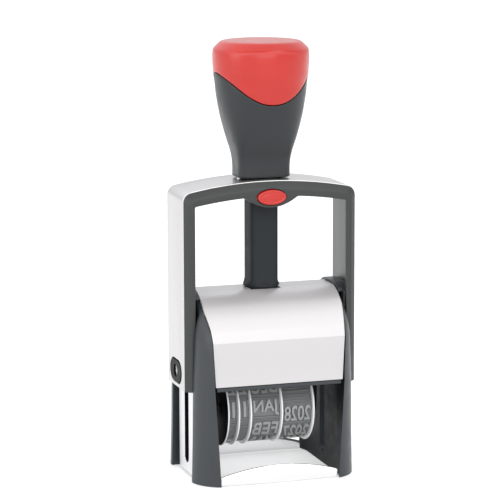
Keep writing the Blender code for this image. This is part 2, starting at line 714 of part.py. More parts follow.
def build_bridge():
    """Cross beam that ties the cheeks together under the hood and carries the post."""
    half = INSIDE_HALF_WIDTH
    bridge = box("top_bridge", (-half, -BRIDGE_HALF_DEPTH, BRIDGE_LOW_Z),
                 (half, BRIDGE_HALF_DEPTH, BRIDGE_HIGH_Z), "black_plastic")
    sink_top = POST_SCREW_LOW_Z + POST_SCREW_HEAD[1] + GAP
    cut(bridge,
        prism("bridge_hole", circle((0.0, 0.0), POST_SCREW_RADIUS + HEAD_ROOM, 16), "Z", 50.0, 65.0, None),
        prism("bridge_sink", circle((0.0, 0.0), POST_SCREW_HEAD[0] + HEAD_ROOM, 20),
              "Z", 50.0, sink_top, None))
    bore_x = CHEEK_SCREW_OUTER_X - CHEEK_SCREW_LENGTH - HEAD_ROOM
    for side in (-1, 1):
        for y in (-CHEEK_SCREW_Y, CHEEK_SCREW_Y):
            bore = circle((y, CHEEK_SCREW_Z), CHEEK_SCREW_RADIUS + GAP, 16)
            cut(bridge, side_prism("bridge_bore", side, (bore_x, 30.0), bore))


def add_screw(name, head, shank_radius, length, place):
    """Plain screw; place turns (across, across, depth from the head) into a point."""
    head_radius, head_height = head
    profile = ((head_radius, 0.0), (head_radius, head_height), (shank_radius, head_height),
               (shank_radius, length))
    rings = [[place(x, y, depth) for x, y in circle((0.0, 0.0), radius, 14)]
             for radius, depth in profile]
    loft(name, rings, "steel", smooth=True)


def build_screws():
    under_crown = CROWN_Z - BOW_THICKNESS - HANDLE_SCREW_HEAD[1] - 0.7
    for name, side in (("left", -1), ("right", 1)):
        add_screw(name + "_handle_screw", HANDLE_SCREW_HEAD, 1.1, HANDLE_SCREW_TOP_Z - under_crown,
                  lambda x, y, depth: (side * HANDLE_SCREW_X + x, y, under_crown + depth))
        for end, at in (("front", -CHEEK_SCREW_Y), ("rear", CHEEK_SCREW_Y)):
            add_screw(name + "_" + end + "_cheek_screw", CHEEK_SCREW_HEAD, CHEEK_SCREW_RADIUS,
                      CHEEK_SCREW_LENGTH, lambda x, y, depth: (side * (CHEEK_SCREW_OUTER_X - depth),
                                                               at + x, CHEEK_SCREW_Z + y))
    add_screw("post_screw", POST_SCREW_HEAD, POST_SCREW_RADIUS, POST_SCREW_LENGTH,
              lambda x, y, depth: (x, y, POST_SCREW_LOW_Z + depth))


def build_post():
    """Hollow square post with a flared collar that stands on the hood."""
    square = 6.0
    rings = [squircle(POST_HALF, POST_HALF, square, z) for z in (BRIDGE_HIGH_Z + GAP, COLLAR_Z)]
    rings.append(squircle(COLLAR_RADIUS - 0.2, COLLAR_RADIUS - 0.2, 2.0, COLLAR_Z))
    rings.append(squircle(COLLAR_RADIUS, COLLAR_RADIUS, 2.0, COLLAR_Z + 0.5))
    for i in range(1, 5):
        rise = i / 5.0
        radius = COLLAR_RADIUS - (COLLAR_RADIUS - POST_HALF - 0.1) * rise ** 0.6
        rings.append(squircle(radius, radius, 2.0 + 3.6 * rise,
                              COLLAR_Z + 0.5 + (COLLAR_TOP_Z - COLLAR_Z - 0.5) * rise))
    rings.append(squircle(POST_HALF, POST_HALF, square, COLLAR_TOP_Z))
    rings.append(squircle(POST_HALF, POST_HALF, square, POST_TOP_Z))
    post = loft("post", rings, "black_plastic", smooth=True)
    cut(post,
        prism("post_bore", circle((0.0, 0.0), POST_BORE, 24), "Z", POST_SEAT_Z, 120.0, None),
        prism("post_screw_hole", circle((0.0, 0.0), POST_SCREW_RADIUS + HEAD_ROOM, 16),
              "Z", 50.0, POST_SCREW_LOW_Z + POST_SCREW_LENGTH + 1.0, None))


def build_front_wall():
    """Inner wall behind the hood with the lip that shows under the hood's edge."""
    lip_y, front_y, back_y = WALL_Y
    low_z, lip_z, high_z = WALL_Z
    outline = [(lip_y, low_z), (back_y, low_z), (back_y, high_z), (front_y, high_z),
               (front_y, lip_z), (lip_y, lip_z)]
    prism("front_wall", outline, "X", -INSIDE_HALF_WIDTH, INSIDE_HALF_WIDTH, "black_plastic")


def build_skirt(name, facing, steps=14):
    """Arched steel apron between two feet, bowed slightly outwards."""
    half = CHEEK_LIP_LOW_X - GAP
    sections = []
    for i in range(steps + 1):
        x = -half + 2.0 * half * i / steps
        swell = 1.0 - (x / half) ** 2
        outer = facing * (SKIRT_Y + SKIRT_BULGE * swell)
        inner = outer - facing * SKIRT_THICKNESS
        top = SKIRT_LOW_Z + (SKIRT_HIGH_Z - SKIRT_LOW_Z) * swell
        sections.append([(x, outer, 0.0), (x, outer, top), (x, inner, top), (x, inner, 0.0)])
    loft(name, sections, "bright_chrome")


# ---- ink pad -------------------------------------------------------------------------------
def build_pad_tray():
    """Drawer that hangs upside down over the printing unit, with its felt pad."""
    front, back, top = TRAY_FRONT_Y, TRAY_BACK_Y, TRAY_TOP_Z
    tray = box("pad_tray", (-TRAY_HALF_WIDTH, front, TRAY_BOTTOM_Z), (TRAY_HALF_WIDTH, back, top),
               "black_plastic")
    flange = box("tray_flange", (-FLANGE_HALF_WIDTH, front, FLANGE_LOW_Z),
                 (FLANGE_HALF_WIDTH, back, top), None)
    pull = box("tray_pull", (-PULL_HALF_WIDTH, back - 1.0, PULL_LOW_Z),
               (PULL_HALF_WIDTH, PULL_BACK_Y, top), None)
    combine(tray, flange, "UNION")
    combine(tray, pull, "UNION")
    room_x, room_y = PAD_HALF_WIDTH + GAP, PAD_HALF_DEPTH + GAP
    grip_x = PULL_HALF_WIDTH - 1.4
    cut(tray,
        box("tray_pocket", (-room_x, -room_y, 40.0), (room_x, room_y, PAD_TOP_Z + GAP), None),
        box("pull_hollow", (-grip_x, back - 1.6, 40.0), (grip_x, PULL_BACK_Y - 1.2, top - 1.4), None))
    box("ink_pad", (-PAD_HALF_WIDTH, -PAD_HALF_DEPTH, PAD_FACE_Z),
        (PAD_HALF_WIDTH, PAD_HALF_DEPTH, PAD_TOP_Z), "ink_felt")


# ---- printing unit -------------------------------------------------------------------------
def belt_outline(low_radius, high_radius, low_steps=16, high_steps=10):
    """Outline of a belt around the wheels below and the nose above: (y, z)."""
    span = NOSE_Z - WHEEL_Z
    lean = math.degrees(math.asin((low_radius - high_radius) / span))
    low = arc((0.0, WHEEL_Z), (low_radius, low_radius), 180.0 - lean, 360.0 + lean, low_steps)
    high = arc((0.0, NOSE_Z), (high_radius, high_radius), lean, 180.0 - lean, high_steps)
    return low + high


def build_band(name, left, right):
    inner = belt_outline(DRUM_RADIUS + GAP, NOSE_RADIUS + GAP)
    outer = belt_outline(DRUM_RADIUS + GAP + BAND_THICKNESS, NOSE_RADIUS + GAP + BAND_THICKNESS)
    count = len(inner)
    points = [(x, y, z) for x in (left, right) for outline in (outer, inner) for y, z in outline]
    faces = []
    for i in range(count):
        j = (i + 1) % count
        a, b, c, d = 0, count, 2 * count, 3 * count
        faces.append((a + i, a + j, c + j, c + i))
        faces.append((b + i, b + j, d + j, d + i))
        faces.append((a + i, a + j, b + j, b + i))
        faces.append((c + i, c + j, d + j, d + i))
    add_mesh(name, points, faces, "band_rubber")


def build_wheel(name, left, right, last):
    """Drum for one band with a thumb disc on its left, and on its right on the last wheel."""
    half = DISC_THICKNESS / 2.0
    bore = SHAFT_RADIUS + GAP
    drum_end = right + half if last else right - half - GAP
    profile = [(left - half, bore), (left - half, DISC_RADIUS), (left + half, DISC_RADIUS),
               (left + half, DRUM_RADIUS)]
    if last:
        profile += [(right - half, DRUM_RADIUS), (right - half, DISC_RADIUS), (right + half, DISC_RADIUS)]
    else:
        profile += [(drum_end, DRUM_RADIUS)]
    profile.append((drum_end, bore))
    wheel = lathe_x(name, profile, (0.0, WHEEL_Z), "wheel_plastic")
    set_origin(wheel, (0.0, 0.0, WHEEL_Z))


def build_wheels_and_bands():
    side_gap = DISC_THICKNESS / 2.0 + GAP
    for name, left, right in WHEELS:
        build_wheel(name + "_wheel", left, right, last=name == "year")
        build_band(name + "_band", left + side_gap, right - side_gap)


def build_carriage():
    """Moulded frame of the printing unit: two arms and the plate that holds the text rubber."""
    half_x, half_y = CARRIAGE_HALF
    shoulder_y = half_y - 0.4
    arm = arc((0.0, WHEEL_Z), (4.6, 4.6), 180.0, 360.0, 10)
    arm += [(5.6, AXLE_Z), (shoulder_y, CARRIAGE_LOW_Z), (shoulder_y, CARRIAGE_HIGH_Z - GAP),
            (-shoulder_y, CARRIAGE_HIGH_Z - GAP), (-shoulder_y, CARRIAGE_LOW_Z), (-5.6, AXLE_Z)]
    frame = box("carriage_frame", (-half_x, -half_y, CARRIAGE_LOW_Z), (half_x, half_y, CARRIAGE_HIGH_Z),
                "black_plastic")
    for side in (-1, 1):
        combine(frame, side_prism("carriage_arm", side, (ARM_INNER_X, ARM_OUTER_X), arm), "UNION")
    cut(frame, date_window("carriage_window"))
    for z, radius in ((WHEEL_Z, SHAFT_RADIUS), (AXLE_Z, AXLE_RADIUS),
                      (AXLE_Z - FLIP_PIN_OFFSET, FLIP_PIN_RADIUS)):
        cut(frame, prism("carriage_bore", circle((0.0, z), radius + GAP, 20), "X", -30.0, 30.0, None))
    set_origin(frame, (0.0, 0.0, AXLE_Z))


def date_window(name):
    """Cutter for the opening through which the bands print."""
    half_x, half_y = DATE_WINDOW_HALF
    return box(name, (-half_x, -half_y, 30.0), (half_x, half_y, 60.0), None)


def build_text_rubber():
    """Rubber text plate around the bands' window, left blank."""
    half_x, half_y = RUBBER_HALF
    rubber = box("text_rubber", (-half_x, -half_y, FACE_Z - RUBBER_THICKNESS), (half_x, half_y, FACE_Z),
                 "band_rubber")
    cut(rubber, date_window("rubber_window"))


def build_band_nose():
    """Bar over which the bands turn behind the printing face."""
    outline = arc((0.0, NOSE_Z), (NOSE_RADIUS, NOSE_RADIUS), 0.0, 180.0, 8)
    outline += [(-NOSE_RADIUS, NOSE_BAR_LOW_Z), (NOSE_RADIUS, NOSE_BAR_LOW_Z)]
    prism("band_nose", outline, "X", -DATE_WINDOW_HALF[0], DATE_WINDOW_HALF[0], "wheel_plastic")


def add_pin(name, height, radius, ends):
    low, high = sorted(ends)
    prism(name, circle((0.0, height), radius, 20), "X", low, high, "steel")


def build_pins():
    add_pin("wheel_shaft", WHEEL_Z, SHAFT_RADIUS, (-ARM_OUTER_X - 0.8, ARM_OUTER_X + 0.8))
    root = ARM_INNER_X + 0.1
    for name, side in (("left", -1), ("right", 1)):
        add_pin(name + "_axle_pin", AXLE_Z, AXLE_RADIUS, (side * root, side * (BOW_HALF_WIDTH - GAP)))
        add_pin(name + "_flip_pin", AXLE_Z - FLIP_PIN_OFFSET, FLIP_PIN_RADIUS,
                (side * root, side * FLIP_PIN_TIP_X))


def build_bearing(name, side):
    """Bearing block: a flange inside the bow and an oval boss that fills its window."""
    low, high = sorted((side * (PLATE_OUTER_X + GAP), side * (BOW_HALF_WIDTH - BOW_THICKNESS - GAP)))
    flange = [(-BEARING_HALF_WIDTH, BEARING_LOW_Z), (BEARING_HALF_WIDTH, BEARING_LOW_Z),
              (BEARING_HALF_WIDTH, BEARING_HIGH_Z), (-BEARING_HALF_WIDTH, BEARING_HIGH_Z)]
    block = prism(name, flange, "X", low, high, "black_plastic")
    clearance = GAP + 0.05
    oval = stadium((0.0, AXLE_Z), EAR_HALF_LENGTH - clearance, EAR_HALF_HEIGHT - clearance)
    boss_x = (BOW_HALF_WIDTH - BOW_THICKNESS - 0.8, BOW_HALF_WIDTH + 0.2)
    combine(block, side_prism(name + "_boss", side, boss_x, oval), "UNION")
    bore = circle((0.0, AXLE_Z), AXLE_RADIUS + GAP, 24)
    cut(block, prism(name + "_bore", bore, "X", -40.0, 40.0, None))


def build_base():
    for name, side in (("left", -1), ("right", 1)):
        build_cheek(name + "_cheek", side)
        build_side_plate(name + "_side_plate", side)
    build_bridge()
    build_front_wall()
    build_pad_hood()
    build_post()
    for name, facing in (("front_skirt", -1), ("rear_skirt", 1)):
        build_skirt(name, facing)


def build_bow():
    build_steel_bow()
    build_bezel()
    build_handle()
    build_spring_plug()
    build_post_bush()
    for name, side in (("left_bearing", -1), ("right_bearing", 1)):
        build_bearing(name, side)


def build_printing_unit():
    build_carriage()
    build_text_rubber()
    build_band_nose()
    build_pins()
    build_wheels_and_bands()


def main():
    clear_scene()
    build_base()
    build_bow()
    build_lock_button()
    build_printing_unit()
    build_pad_tray()
    build_screws()
    build_press_spring()
    build_lock_spring()


main()
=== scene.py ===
"""Looks of the self-inking date stamp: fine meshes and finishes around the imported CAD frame.

Builders take millimetres, like the design, and add_mesh turns them into metres.  Places and sizes
come from the frame's node boxes; the constants are only what a box can't tell.
"""

import math

import bmesh
import bpy
from mathutils import Matrix, Vector


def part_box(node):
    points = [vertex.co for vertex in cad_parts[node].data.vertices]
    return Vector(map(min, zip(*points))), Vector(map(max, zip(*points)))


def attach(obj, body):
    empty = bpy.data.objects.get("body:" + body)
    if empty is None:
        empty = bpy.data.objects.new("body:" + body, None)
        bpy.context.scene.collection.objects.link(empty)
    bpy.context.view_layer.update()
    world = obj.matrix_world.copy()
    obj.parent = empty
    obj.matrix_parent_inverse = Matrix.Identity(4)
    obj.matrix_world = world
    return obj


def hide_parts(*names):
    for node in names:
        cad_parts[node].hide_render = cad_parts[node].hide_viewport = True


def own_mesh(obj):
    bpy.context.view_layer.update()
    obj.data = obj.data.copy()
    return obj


MM = 0.001
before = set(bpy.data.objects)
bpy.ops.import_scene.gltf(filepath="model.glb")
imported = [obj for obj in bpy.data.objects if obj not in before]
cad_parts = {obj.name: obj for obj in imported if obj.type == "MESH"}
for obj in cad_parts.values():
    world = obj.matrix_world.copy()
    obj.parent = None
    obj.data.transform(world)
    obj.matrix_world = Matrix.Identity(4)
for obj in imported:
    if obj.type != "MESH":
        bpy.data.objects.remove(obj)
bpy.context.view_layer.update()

# ---- camera --------------------------------------------------------------------------------
CAMERA_AZIMUTH = -17.525      # degrees, negative looks from the left front
CAMERA_ELEVATION = 9.695
CAMERA_ROLL = -0.139
CAMERA_DISTANCE = 840.5       # millimetres from the target
CAMERA_TARGET = (-3.991, 0.0, 77.401)
CAMERA_LENS = 175.36          # on a 36 mm sensor

# ---- shapes that a box can't tell ----------------------------------------------------------
GAP = 0.3                     # around parts that fit or move
PRESS_SPRING = (2.6, 0.45, 15)   # coil radius, wire radius, turns
LOCK_SPRING = (1.75, 0.25, 5)
CROWN_RADIUS = 140.0
BOW_CORNER = 3.4
BOW_THICKNESS = 1.2
BEZEL_SIDE_CHAMFER = 2.1
BEZEL_TOP_CHAMFER = 2.8
BEZEL_SIDE_WIDTH = 3.8
BEZEL_TOP_WIDTH = 5.2
BOSS_HALF_WIDTH = 9.5
BOSS_DROP = 3.9
BEZEL_FACE_CORNER = 2.4       # corner radii of the bezel's face and of its opening
BEZEL_INNER_CORNER = 0.5
BUTTON_HEAD = 2.05            # thickness of the button in front of its stem
BUTTON_STEM_RADIUS = 1.1
BEARING_WINDOW = (7.0, 4.15)  # half length and half height of the hole in each bow leg
HANDLE_SHAPE = (              # z, half width, half depth, squareness of the section
    (103.1, 9.3, 6.4, 5.0),
    (107.0, 9.3, 6.45, 5.0),
    (110.0, 9.6, 7.0, 4.6),
    (113.0, 10.3, 8.3, 4.0),
    (116.0, 11.3, 9.8, 3.4),
    (119.5, 12.4, 11.4, 2.9),
    (123.6, 13.6, 13.2, 2.5),
    (128.0, 14.7, 14.5, 2.2),
    (132.0, 15.4, 15.3, 2.1),
    (136.0, 15.9, 15.9, 2.0),
    (139.0, 16.35, 16.35, 2.0),
    (147.1, 16.35, 16.35, 2.0),
    (149.2, 14.2, 14.2, 2.0),
    (149.6, 13.5, 13.5, 2.0),
    (149.8, 12.4, 12.4, 2.0),
)
CAP_RIM = (                   # z and radius of the rounded and chamfered top edge
    (147.0, 16.3),
    (147.35, 16.1),
    (149.1, 14.3),
    (149.4, 13.9),
    (149.6, 13.4),
    (149.72, 12.8),
    (149.8, 12.0),
    (149.8, 6.0),
    (149.8, 1.0),
)
CAP_SIDE_TOP = 146.6          # where the cap's side ends and its rim begins
SEAM_MEAN_Z = 134.0           # the seam between grip and cap waves twice around the handle
SEAM_WAVE = 5.2
HOOD_CREASE_Y = 4.8
HOOD_BEND = (20.5, 49.5)      # depth and height where the hood turns down
HOOD_FACET = (19.2, 53.1)     # top of the flat strip above that bend
HOOD_PULLS = ((10.8, 63.6), (16.4, 57.9))   # steer the curve from crease to facet
HOOD_HALF_WIDTH = 24.7
HOOD_NARROWING = 1.2
HOOD_FOOT_HALF_WIDTH = 22.7
HOOD_REAR_END_Z = 55.6
BASE_HALF_DEPTH = 22.0
FOOT_ARC_RADIUS = 12.0        # plan radius of a front foot's outer corner
REAR_FOOT_ARC_RADIUS = 9.0    # the rear feet are squarer
FOOT_TAPER = (                # height, x of that corner's centre
    (0.0, 17.1),
    (15.0, 16.7),
    (34.4, 16.4),
    (49.5, 15.8),
    (64.7, 14.8),
)
CHEEK_INNER_X = 22.5
CHEEK_OUTER_X = 25.9
CHEEK_PROUD = 0.6
GROOVE_HALF_WIDTH = 12.4      # groove in a cheek that the bow slides down
SLOT_HALF_WIDTH = 2.5         # upright slot for the axle in cheeks and plates
SLOT_ENDS = (4.0, 41.0)
CHEEK_LIP = (21.2, 23.2)      # inner front edge at the table and at the hood's foot
CAP_OUTER_X = 28.7
CAP_HALF_DEPTH = 9.2
CAP_LOW_Z = 62.8
CAP_RISE = 0.9                # over the hood's curve
COLLAR_Z = 65.1
COLLAR_TOP_Z = 67.6
POST_HALF_WIDTH = 5.0
BOW_HOLE_HALF_WIDTH = 5.6     # around the post
HOOD_HOLE_HALF_WIDTH = 5.4
POST_BORE = (3.7, 72.3)       # radius and floor
SKIRT_MIDDLE = 0.7            # how much further out the skirt's middle is than its ends
SKIRT_END_Y = 20.9
SKIRT_END_HEIGHT = 3.0
SKIRT_THICKNESS = 0.9
WALL_THICKNESS = 1.2          # the front wall's upright part
WALL_LIP = 1.3
SHAFT_BORE = 1.8
DISC_THICKNESS = 0.6
NOSE_RADIUS = 2.2
DRUM_RADIUS = 10.6
CHARACTER_HEIGHT = 5.2
CHARACTER_RELIEF = 0.85

RUBBER_THICKNESS = 1.6        # band with its characters
TYPE_SIDE_ROOM = 0.8          # of a band's width, left free beside its characters
DIGIT_STRETCH = 1.3           # widening of a single digit
TYPE_STROKE = 0.09            # how much bolder the characters are than the font
TYPE_SINK = 0.04              # how far they sit in the band

# ---- light ---------------------------------------------------------------------------------
SIDE_FALL = 0.22              # how much darker the tent gets towards the right
FLOOR_GLOW = 0.40             # emission of the floor, for a bright table top
TENT_STRENGTH = 2.6
TENT = (                      # degrees from the front horizon over the top to the rear, and light
    (0.0, (1.15, 1.15, 1.15)),
    (16.0, (1.3, 1.3, 1.3)),
    (22.0, (2.6, 2.6, 2.6)),
    (40.0, (2.6, 2.6, 2.6)),
    (45.0, (0.6, 0.59, 0.6)),
    (66.0, (0.6, 0.59, 0.59)),
    (72.0, (1.45, 1.43, 1.43)),
    (104.0, (1.5, 1.49, 1.49)),
    (112.0, (1.4, 1.43, 1.47)),
    (140.0, (1.4, 1.43, 1.47)),
    (165.0, (1.05, 1.06, 1.08)),
    (180.0, (0.8, 0.8, 0.8)),
)

BAND_ROWS = {                 # what stands on each band, row by row up its front
    "day_tens_band": ["1", "2", "3", "", "1", "2", "3", "", "1", "2", "3", ""],
    "day_units_band": ["1", "2", "3", "4", "5", "6", "7", "8", "9", "0", "", ""],
    "month_band": ["JAN", "DEC", "NOV", "OCT", "SEP", "AUG", "JUL", "JUN", "MAY", "APR", "MAR", "FEB"],
    "year_band": ["2028", "", "2038", "2037", "2036", "2035", "2034", "2033", "2032", "2031",
                  "2030", "2029", "2027"],
}
BAND_PHASE = {                # degrees above the horizontal of each band's first row
    "day_tens_band": 8.0,
    "day_units_band": 8.0,
    "month_band": 8.0,
    "year_band": -5.0,
}
RIB_MARGIN = 0.35             # between a row of characters and the first rib
RIB_PITCH = 1.0
RIB_RELIEF = 0.35


# ---- geometry helpers ----------------------------------------------------------------------
def span(node):
    """Lowest and highest corner of a CAD node's box, in millimetres."""
    low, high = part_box(node)
    return Vector(low) / MM, Vector(high) / MM


def add_mesh(name, points, faces, finish, sharp_deg=35.0):
    """A closed smooth-shaded mesh object from points in millimetres, faces turned outwards."""
    mesh = bpy.data.meshes.new(name)
    mesh.from_pydata([Vector(p) * MM for p in points], [], faces)
    work = bmesh.new()
    work.from_mesh(mesh)
    bmesh.ops.remove_doubles(work, verts=work.verts, dist=1e-7)
    bmesh.ops.recalc_face_normals(work, faces=work.faces)
    work.to_mesh(mesh)
    work.free()
    made = bpy.data.objects.new(name, mesh)
    bpy.context.collection.objects.link(made)
    if finish is not None:
        mesh.materials.append(finish)
    mesh.shade_smooth()
    mesh.set_sharp_from_angle(angle=math.radians(sharp_deg))
    return made


def loft(name, rings, finish, sharp_deg=35.0):
    """Skin over rings of equal length, closed with a cap at each end."""
    count = len(rings[0])
    points = [point for ring in rings for point in ring]
    faces = []
    for level in range(len(rings) - 1):
        here = level * count
        for i in range(count):
            j = (i + 1) % count
            faces.append((here + i, here + j, here + count + j, here + count + i))
    last = (len(rings) - 1) * count
    faces.append(tuple(range(count)))
    faces.append(tuple(range(last, last + count)))
    return add_mesh(name, points, faces, finish, sharp_deg)


def prism(name, outline, axis, low, high, finish, sharp_deg=35.0):
    """Outline pushed along an axis: X takes (y, z) points, Y takes (x, z) and Z takes (x, y)."""
    place = {
        "X": lambda p, at: (at, p[0], p[1]),
        "Y": lambda p, at: (p[0], at, p[1]),
        "Z": lambda p, at: (p[0], p[1], at),
    }[axis]
    return loft(name, [[place(p, at) for p in outline] for at in (low, high)], finish, sharp_deg)


def box(name, low, high, finish=None):
    """Box between two opposite corners."""
    outline = [(low[0], low[1]), (high[0], low[1]), (high[0], high[1]), (low[0], high[1])]
    return prism(name, outline, "Z", low[2], high[2], finish)


def arc(centre, radii, start_deg, end_deg, steps):
    """Points along part of an ellipse, both ends included."""
    points = []
    for i in range(steps + 1):
        angle = math.radians(start_deg + (end_deg - start_deg) * i / steps)
        points.append((centre[0] + radii[0] * math.cos(angle), centre[1] + radii[1] * math.sin(angle)))
    return points


def circle(centre, radius, steps=48):
    return arc(centre, (radius, radius), 0.0, 360.0, steps)[:-1]


def stadium(centre, half_length, half_height, steps=16):
    """Lying slot with round ends."""
    straight = half_length - half_height
    right = arc((centre[0] + straight, centre[1]), (half_height, half_height), -90.0, 90.0, steps)
    left = arc((centre[0] - straight, centre[1]), (half_height, half_height), 90.0, 270.0, steps)
    return right + left


def upright_slot(half_width, low, high, steps=12):
    """Standing slot with round ends, between two heights."""
    top = arc((0.0, high - half_width), (half_width, half_width), 0.0, 180.0, steps)
    bottom = arc((0.0, low + half_width), (half_width, half_width), 180.0, 360.0, steps)
    return top + bottom


def round_corners(outline, radius, steps=3):
    """Closed outline with each corner eased by a short curve."""
    eased = []
    for i, point in enumerate(outline):
        corner = Vector(point)
        before, after = Vector(outline[i - 1]), Vector(outline[(i + 1) % len(outline)])
        reach_back = min(radius, (before - corner).length * 0.45)
        reach_on = min(radius, (after - corner).length * 0.45)
        start = corner + (before - corner).normalized() * reach_back
        end = corner + (after - corner).normalized() * reach_on
        for k in range(steps + 1):
            t = k / steps
            eased.append(tuple(start * (1 - t) ** 2 + corner * 2 * t * (1 - t) + end * t * t))
    return eased


def squircle(half_width, half_depth, power, angle):
    """Point of a section between an ellipse (power 2) and a rounded rectangle (power 5)."""
    c, s = math.cos(angle), math.sin(angle)
    return (math.copysign(abs(c) ** (2.0 / power), c) * half_width,
            math.copysign(abs(s) ** (2.0 / power), s) * half_depth)


def cut(target, *tools):
    """Subtracts helpers and leaves the result in the target's own mesh."""
    for tool in tools:
        step = target.modifiers.new("cut", "BOOLEAN")
        step.operation = "DIFFERENCE"
        step.solver = "EXACT"
        step.object = tool
    settle(target)
    for tool in tools:
        bpy.data.objects.remove(tool, do_unlink=True)
    return target


def unite(target, tool):
    """Adds a helper to the target's own mesh."""
    step = target.modifiers.new("unite", "BOOLEAN")
    step.operation = "UNION"
    step.solver = "EXACT"
    step.object = tool
    settle(target)
    bpy.data.objects.remove(tool, do_unlink=True)
    return target


def settle(target):
    """Bakes an object's modifiers into its mesh."""
    view = bpy.context.evaluated_depsgraph_get()
    mesh = bpy.data.meshes.new_from_object(target.evaluated_get(view))
    target.modifiers.clear()
    target.data = mesh


def ease_edges(target, width, steps=3, angle_deg=40.0):
    """Rounds an object's hard edges, so that they catch light as moulded or bent ones do."""
    work = bmesh.new()
    work.from_mesh(target.data)
    bmesh.ops.remove_doubles(work, verts=work.verts, dist=2e-6)
    bmesh.ops.dissolve_limit(work, angle_limit=math.radians(0.3), verts=work.verts, edges=work.edges)
    work.to_mesh(target.data)
    work.free()
    step = target.modifiers.new("ease", "BEVEL")
    step.width = width * MM
    step.segments = steps
    step.limit_method = "ANGLE"
    step.angle_limit = math.radians(angle_deg)
    step.harden_normals = True
    target.data.shade_smooth()
    return target


# ---- finishes ------------------------------------------------------------------------------
class Finish:
    """Principled material with helpers for the few textures that the stamp needs."""

    def __init__(self, name, colour, roughness, metallic=0.0):
        self.material = bpy.data.materials.new(name)
        self.material.use_nodes = True
        self.nodes = self.material.node_tree.nodes
        self.links = self.material.node_tree.links
        self.shader = self.nodes["Principled BSDF"]
        self.shader.inputs["Base Color"].default_value = (*colour, 1.0)
        self.shader.inputs["Roughness"].default_value = roughness
        self.shader.inputs["Metallic"].default_value = metallic
        self.colour = colour

    def noise(self, scale, detail=4.0, stretch=(1.0, 1.0, 1.0)):
        coords = self.nodes.new("ShaderNodeTexCoord")
        mapping = self.nodes.new("ShaderNodeMapping")
        mapping.inputs["Scale"].default_value = stretch
        texture = self.nodes.new("ShaderNodeTexNoise")
        texture.inputs["Scale"].default_value = scale
        texture.inputs["Detail"].default_value = detail
        self.links.new(coords.outputs["Object"], mapping.inputs["Vector"])
        self.links.new(mapping.outputs["Vector"], texture.inputs["Vector"])
        return texture.outputs["Fac"]

    def ranged(self, value, low, high):
        node = self.nodes.new("ShaderNodeMapRange")
        node.inputs["To Min"].default_value = low
        node.inputs["To Max"].default_value = high
        node.inputs["From Min"].default_value = 0.3
        node.inputs["From Max"].default_value = 0.7
        self.links.new(value, node.inputs["Value"])
        return node.outputs["Result"]

    def bump(self, value, distance, strength=1.0):
        node = self.nodes.new("ShaderNodeBump")
        node.inputs["Distance"].default_value = distance * MM
        node.inputs["Strength"].default_value = strength
        self.links.new(value, node.inputs["Height"])
        last = self.shader.inputs["Normal"]
        if last.is_linked:
            self.links.new(last.links[0].from_socket, node.inputs["Normal"])
        self.links.new(node.outputs["Normal"], last)

    def vary_roughness(self, scale, low, high, stretch=(1.0, 1.0, 1.0)):
        self.links.new(self.ranged(self.noise(scale, 5.0, stretch), low, high),
                       self.shader.inputs["Roughness"])

    def vary_colour(self, scale, spread, stretch=(1.0, 1.0, 1.0)):
        mix = self.nodes.new("ShaderNodeMix")
        mix.data_type = "RGBA"
        mix.inputs["A"].default_value = (*[c * (1.0 - spread) for c in self.colour], 1.0)
        mix.inputs["B"].default_value = (*[min(1.0, c * (1.0 + spread)) for c in self.colour], 1.0)
        self.links.new(self.ranged(self.noise(scale, 6.0, stretch), 0.0, 1.0), mix.inputs["Factor"])
        self.links.new(mix.outputs["Result"], self.shader.inputs["Base Color"])


def satin_metal(name, colour, rough_low, rough_high, stretch, metallic=1.0):
    """Ground and satin-plated sheet with a faint grain along it."""
    finish = Finish(name, colour, rough_low, metallic)
    finish.vary_roughness(180.0, rough_low, rough_high, stretch)
    finish.vary_colour(60.0, 0.015, stretch)
    finish.bump(finish.noise(900.0, 3.0, stretch), 0.0015, 0.35)
    return finish.material


def moulded(name, colour, roughness, specular, grain=0.01, coat=0.0):
    """Injection-moulded plastic: fine spark-eroded grain and slight unevenness of gloss."""
    finish = Finish(name, colour, roughness)
    finish.shader.inputs["Specular IOR Level"].default_value = specular
    finish.vary_roughness(300.0, roughness - 0.04, roughness + 0.05)
    finish.vary_colour(90.0, 0.03)
    finish.bump(finish.noise(2600.0, 2.0), grain, 0.5)
    finish.shader.inputs["Coat Weight"].default_value = coat
    finish.shader.inputs["Coat Roughness"].default_value = 0.15
    return finish.material


def felt(name, colour):
    finish = Finish(name, colour, 0.95)
    finish.vary_colour(1500.0, 0.35)
    finish.bump(finish.noise(2500.0, 6.0), 0.08, 0.8)
    finish.shader.inputs["Sheen Weight"].default_value = 0.3
    return finish.material


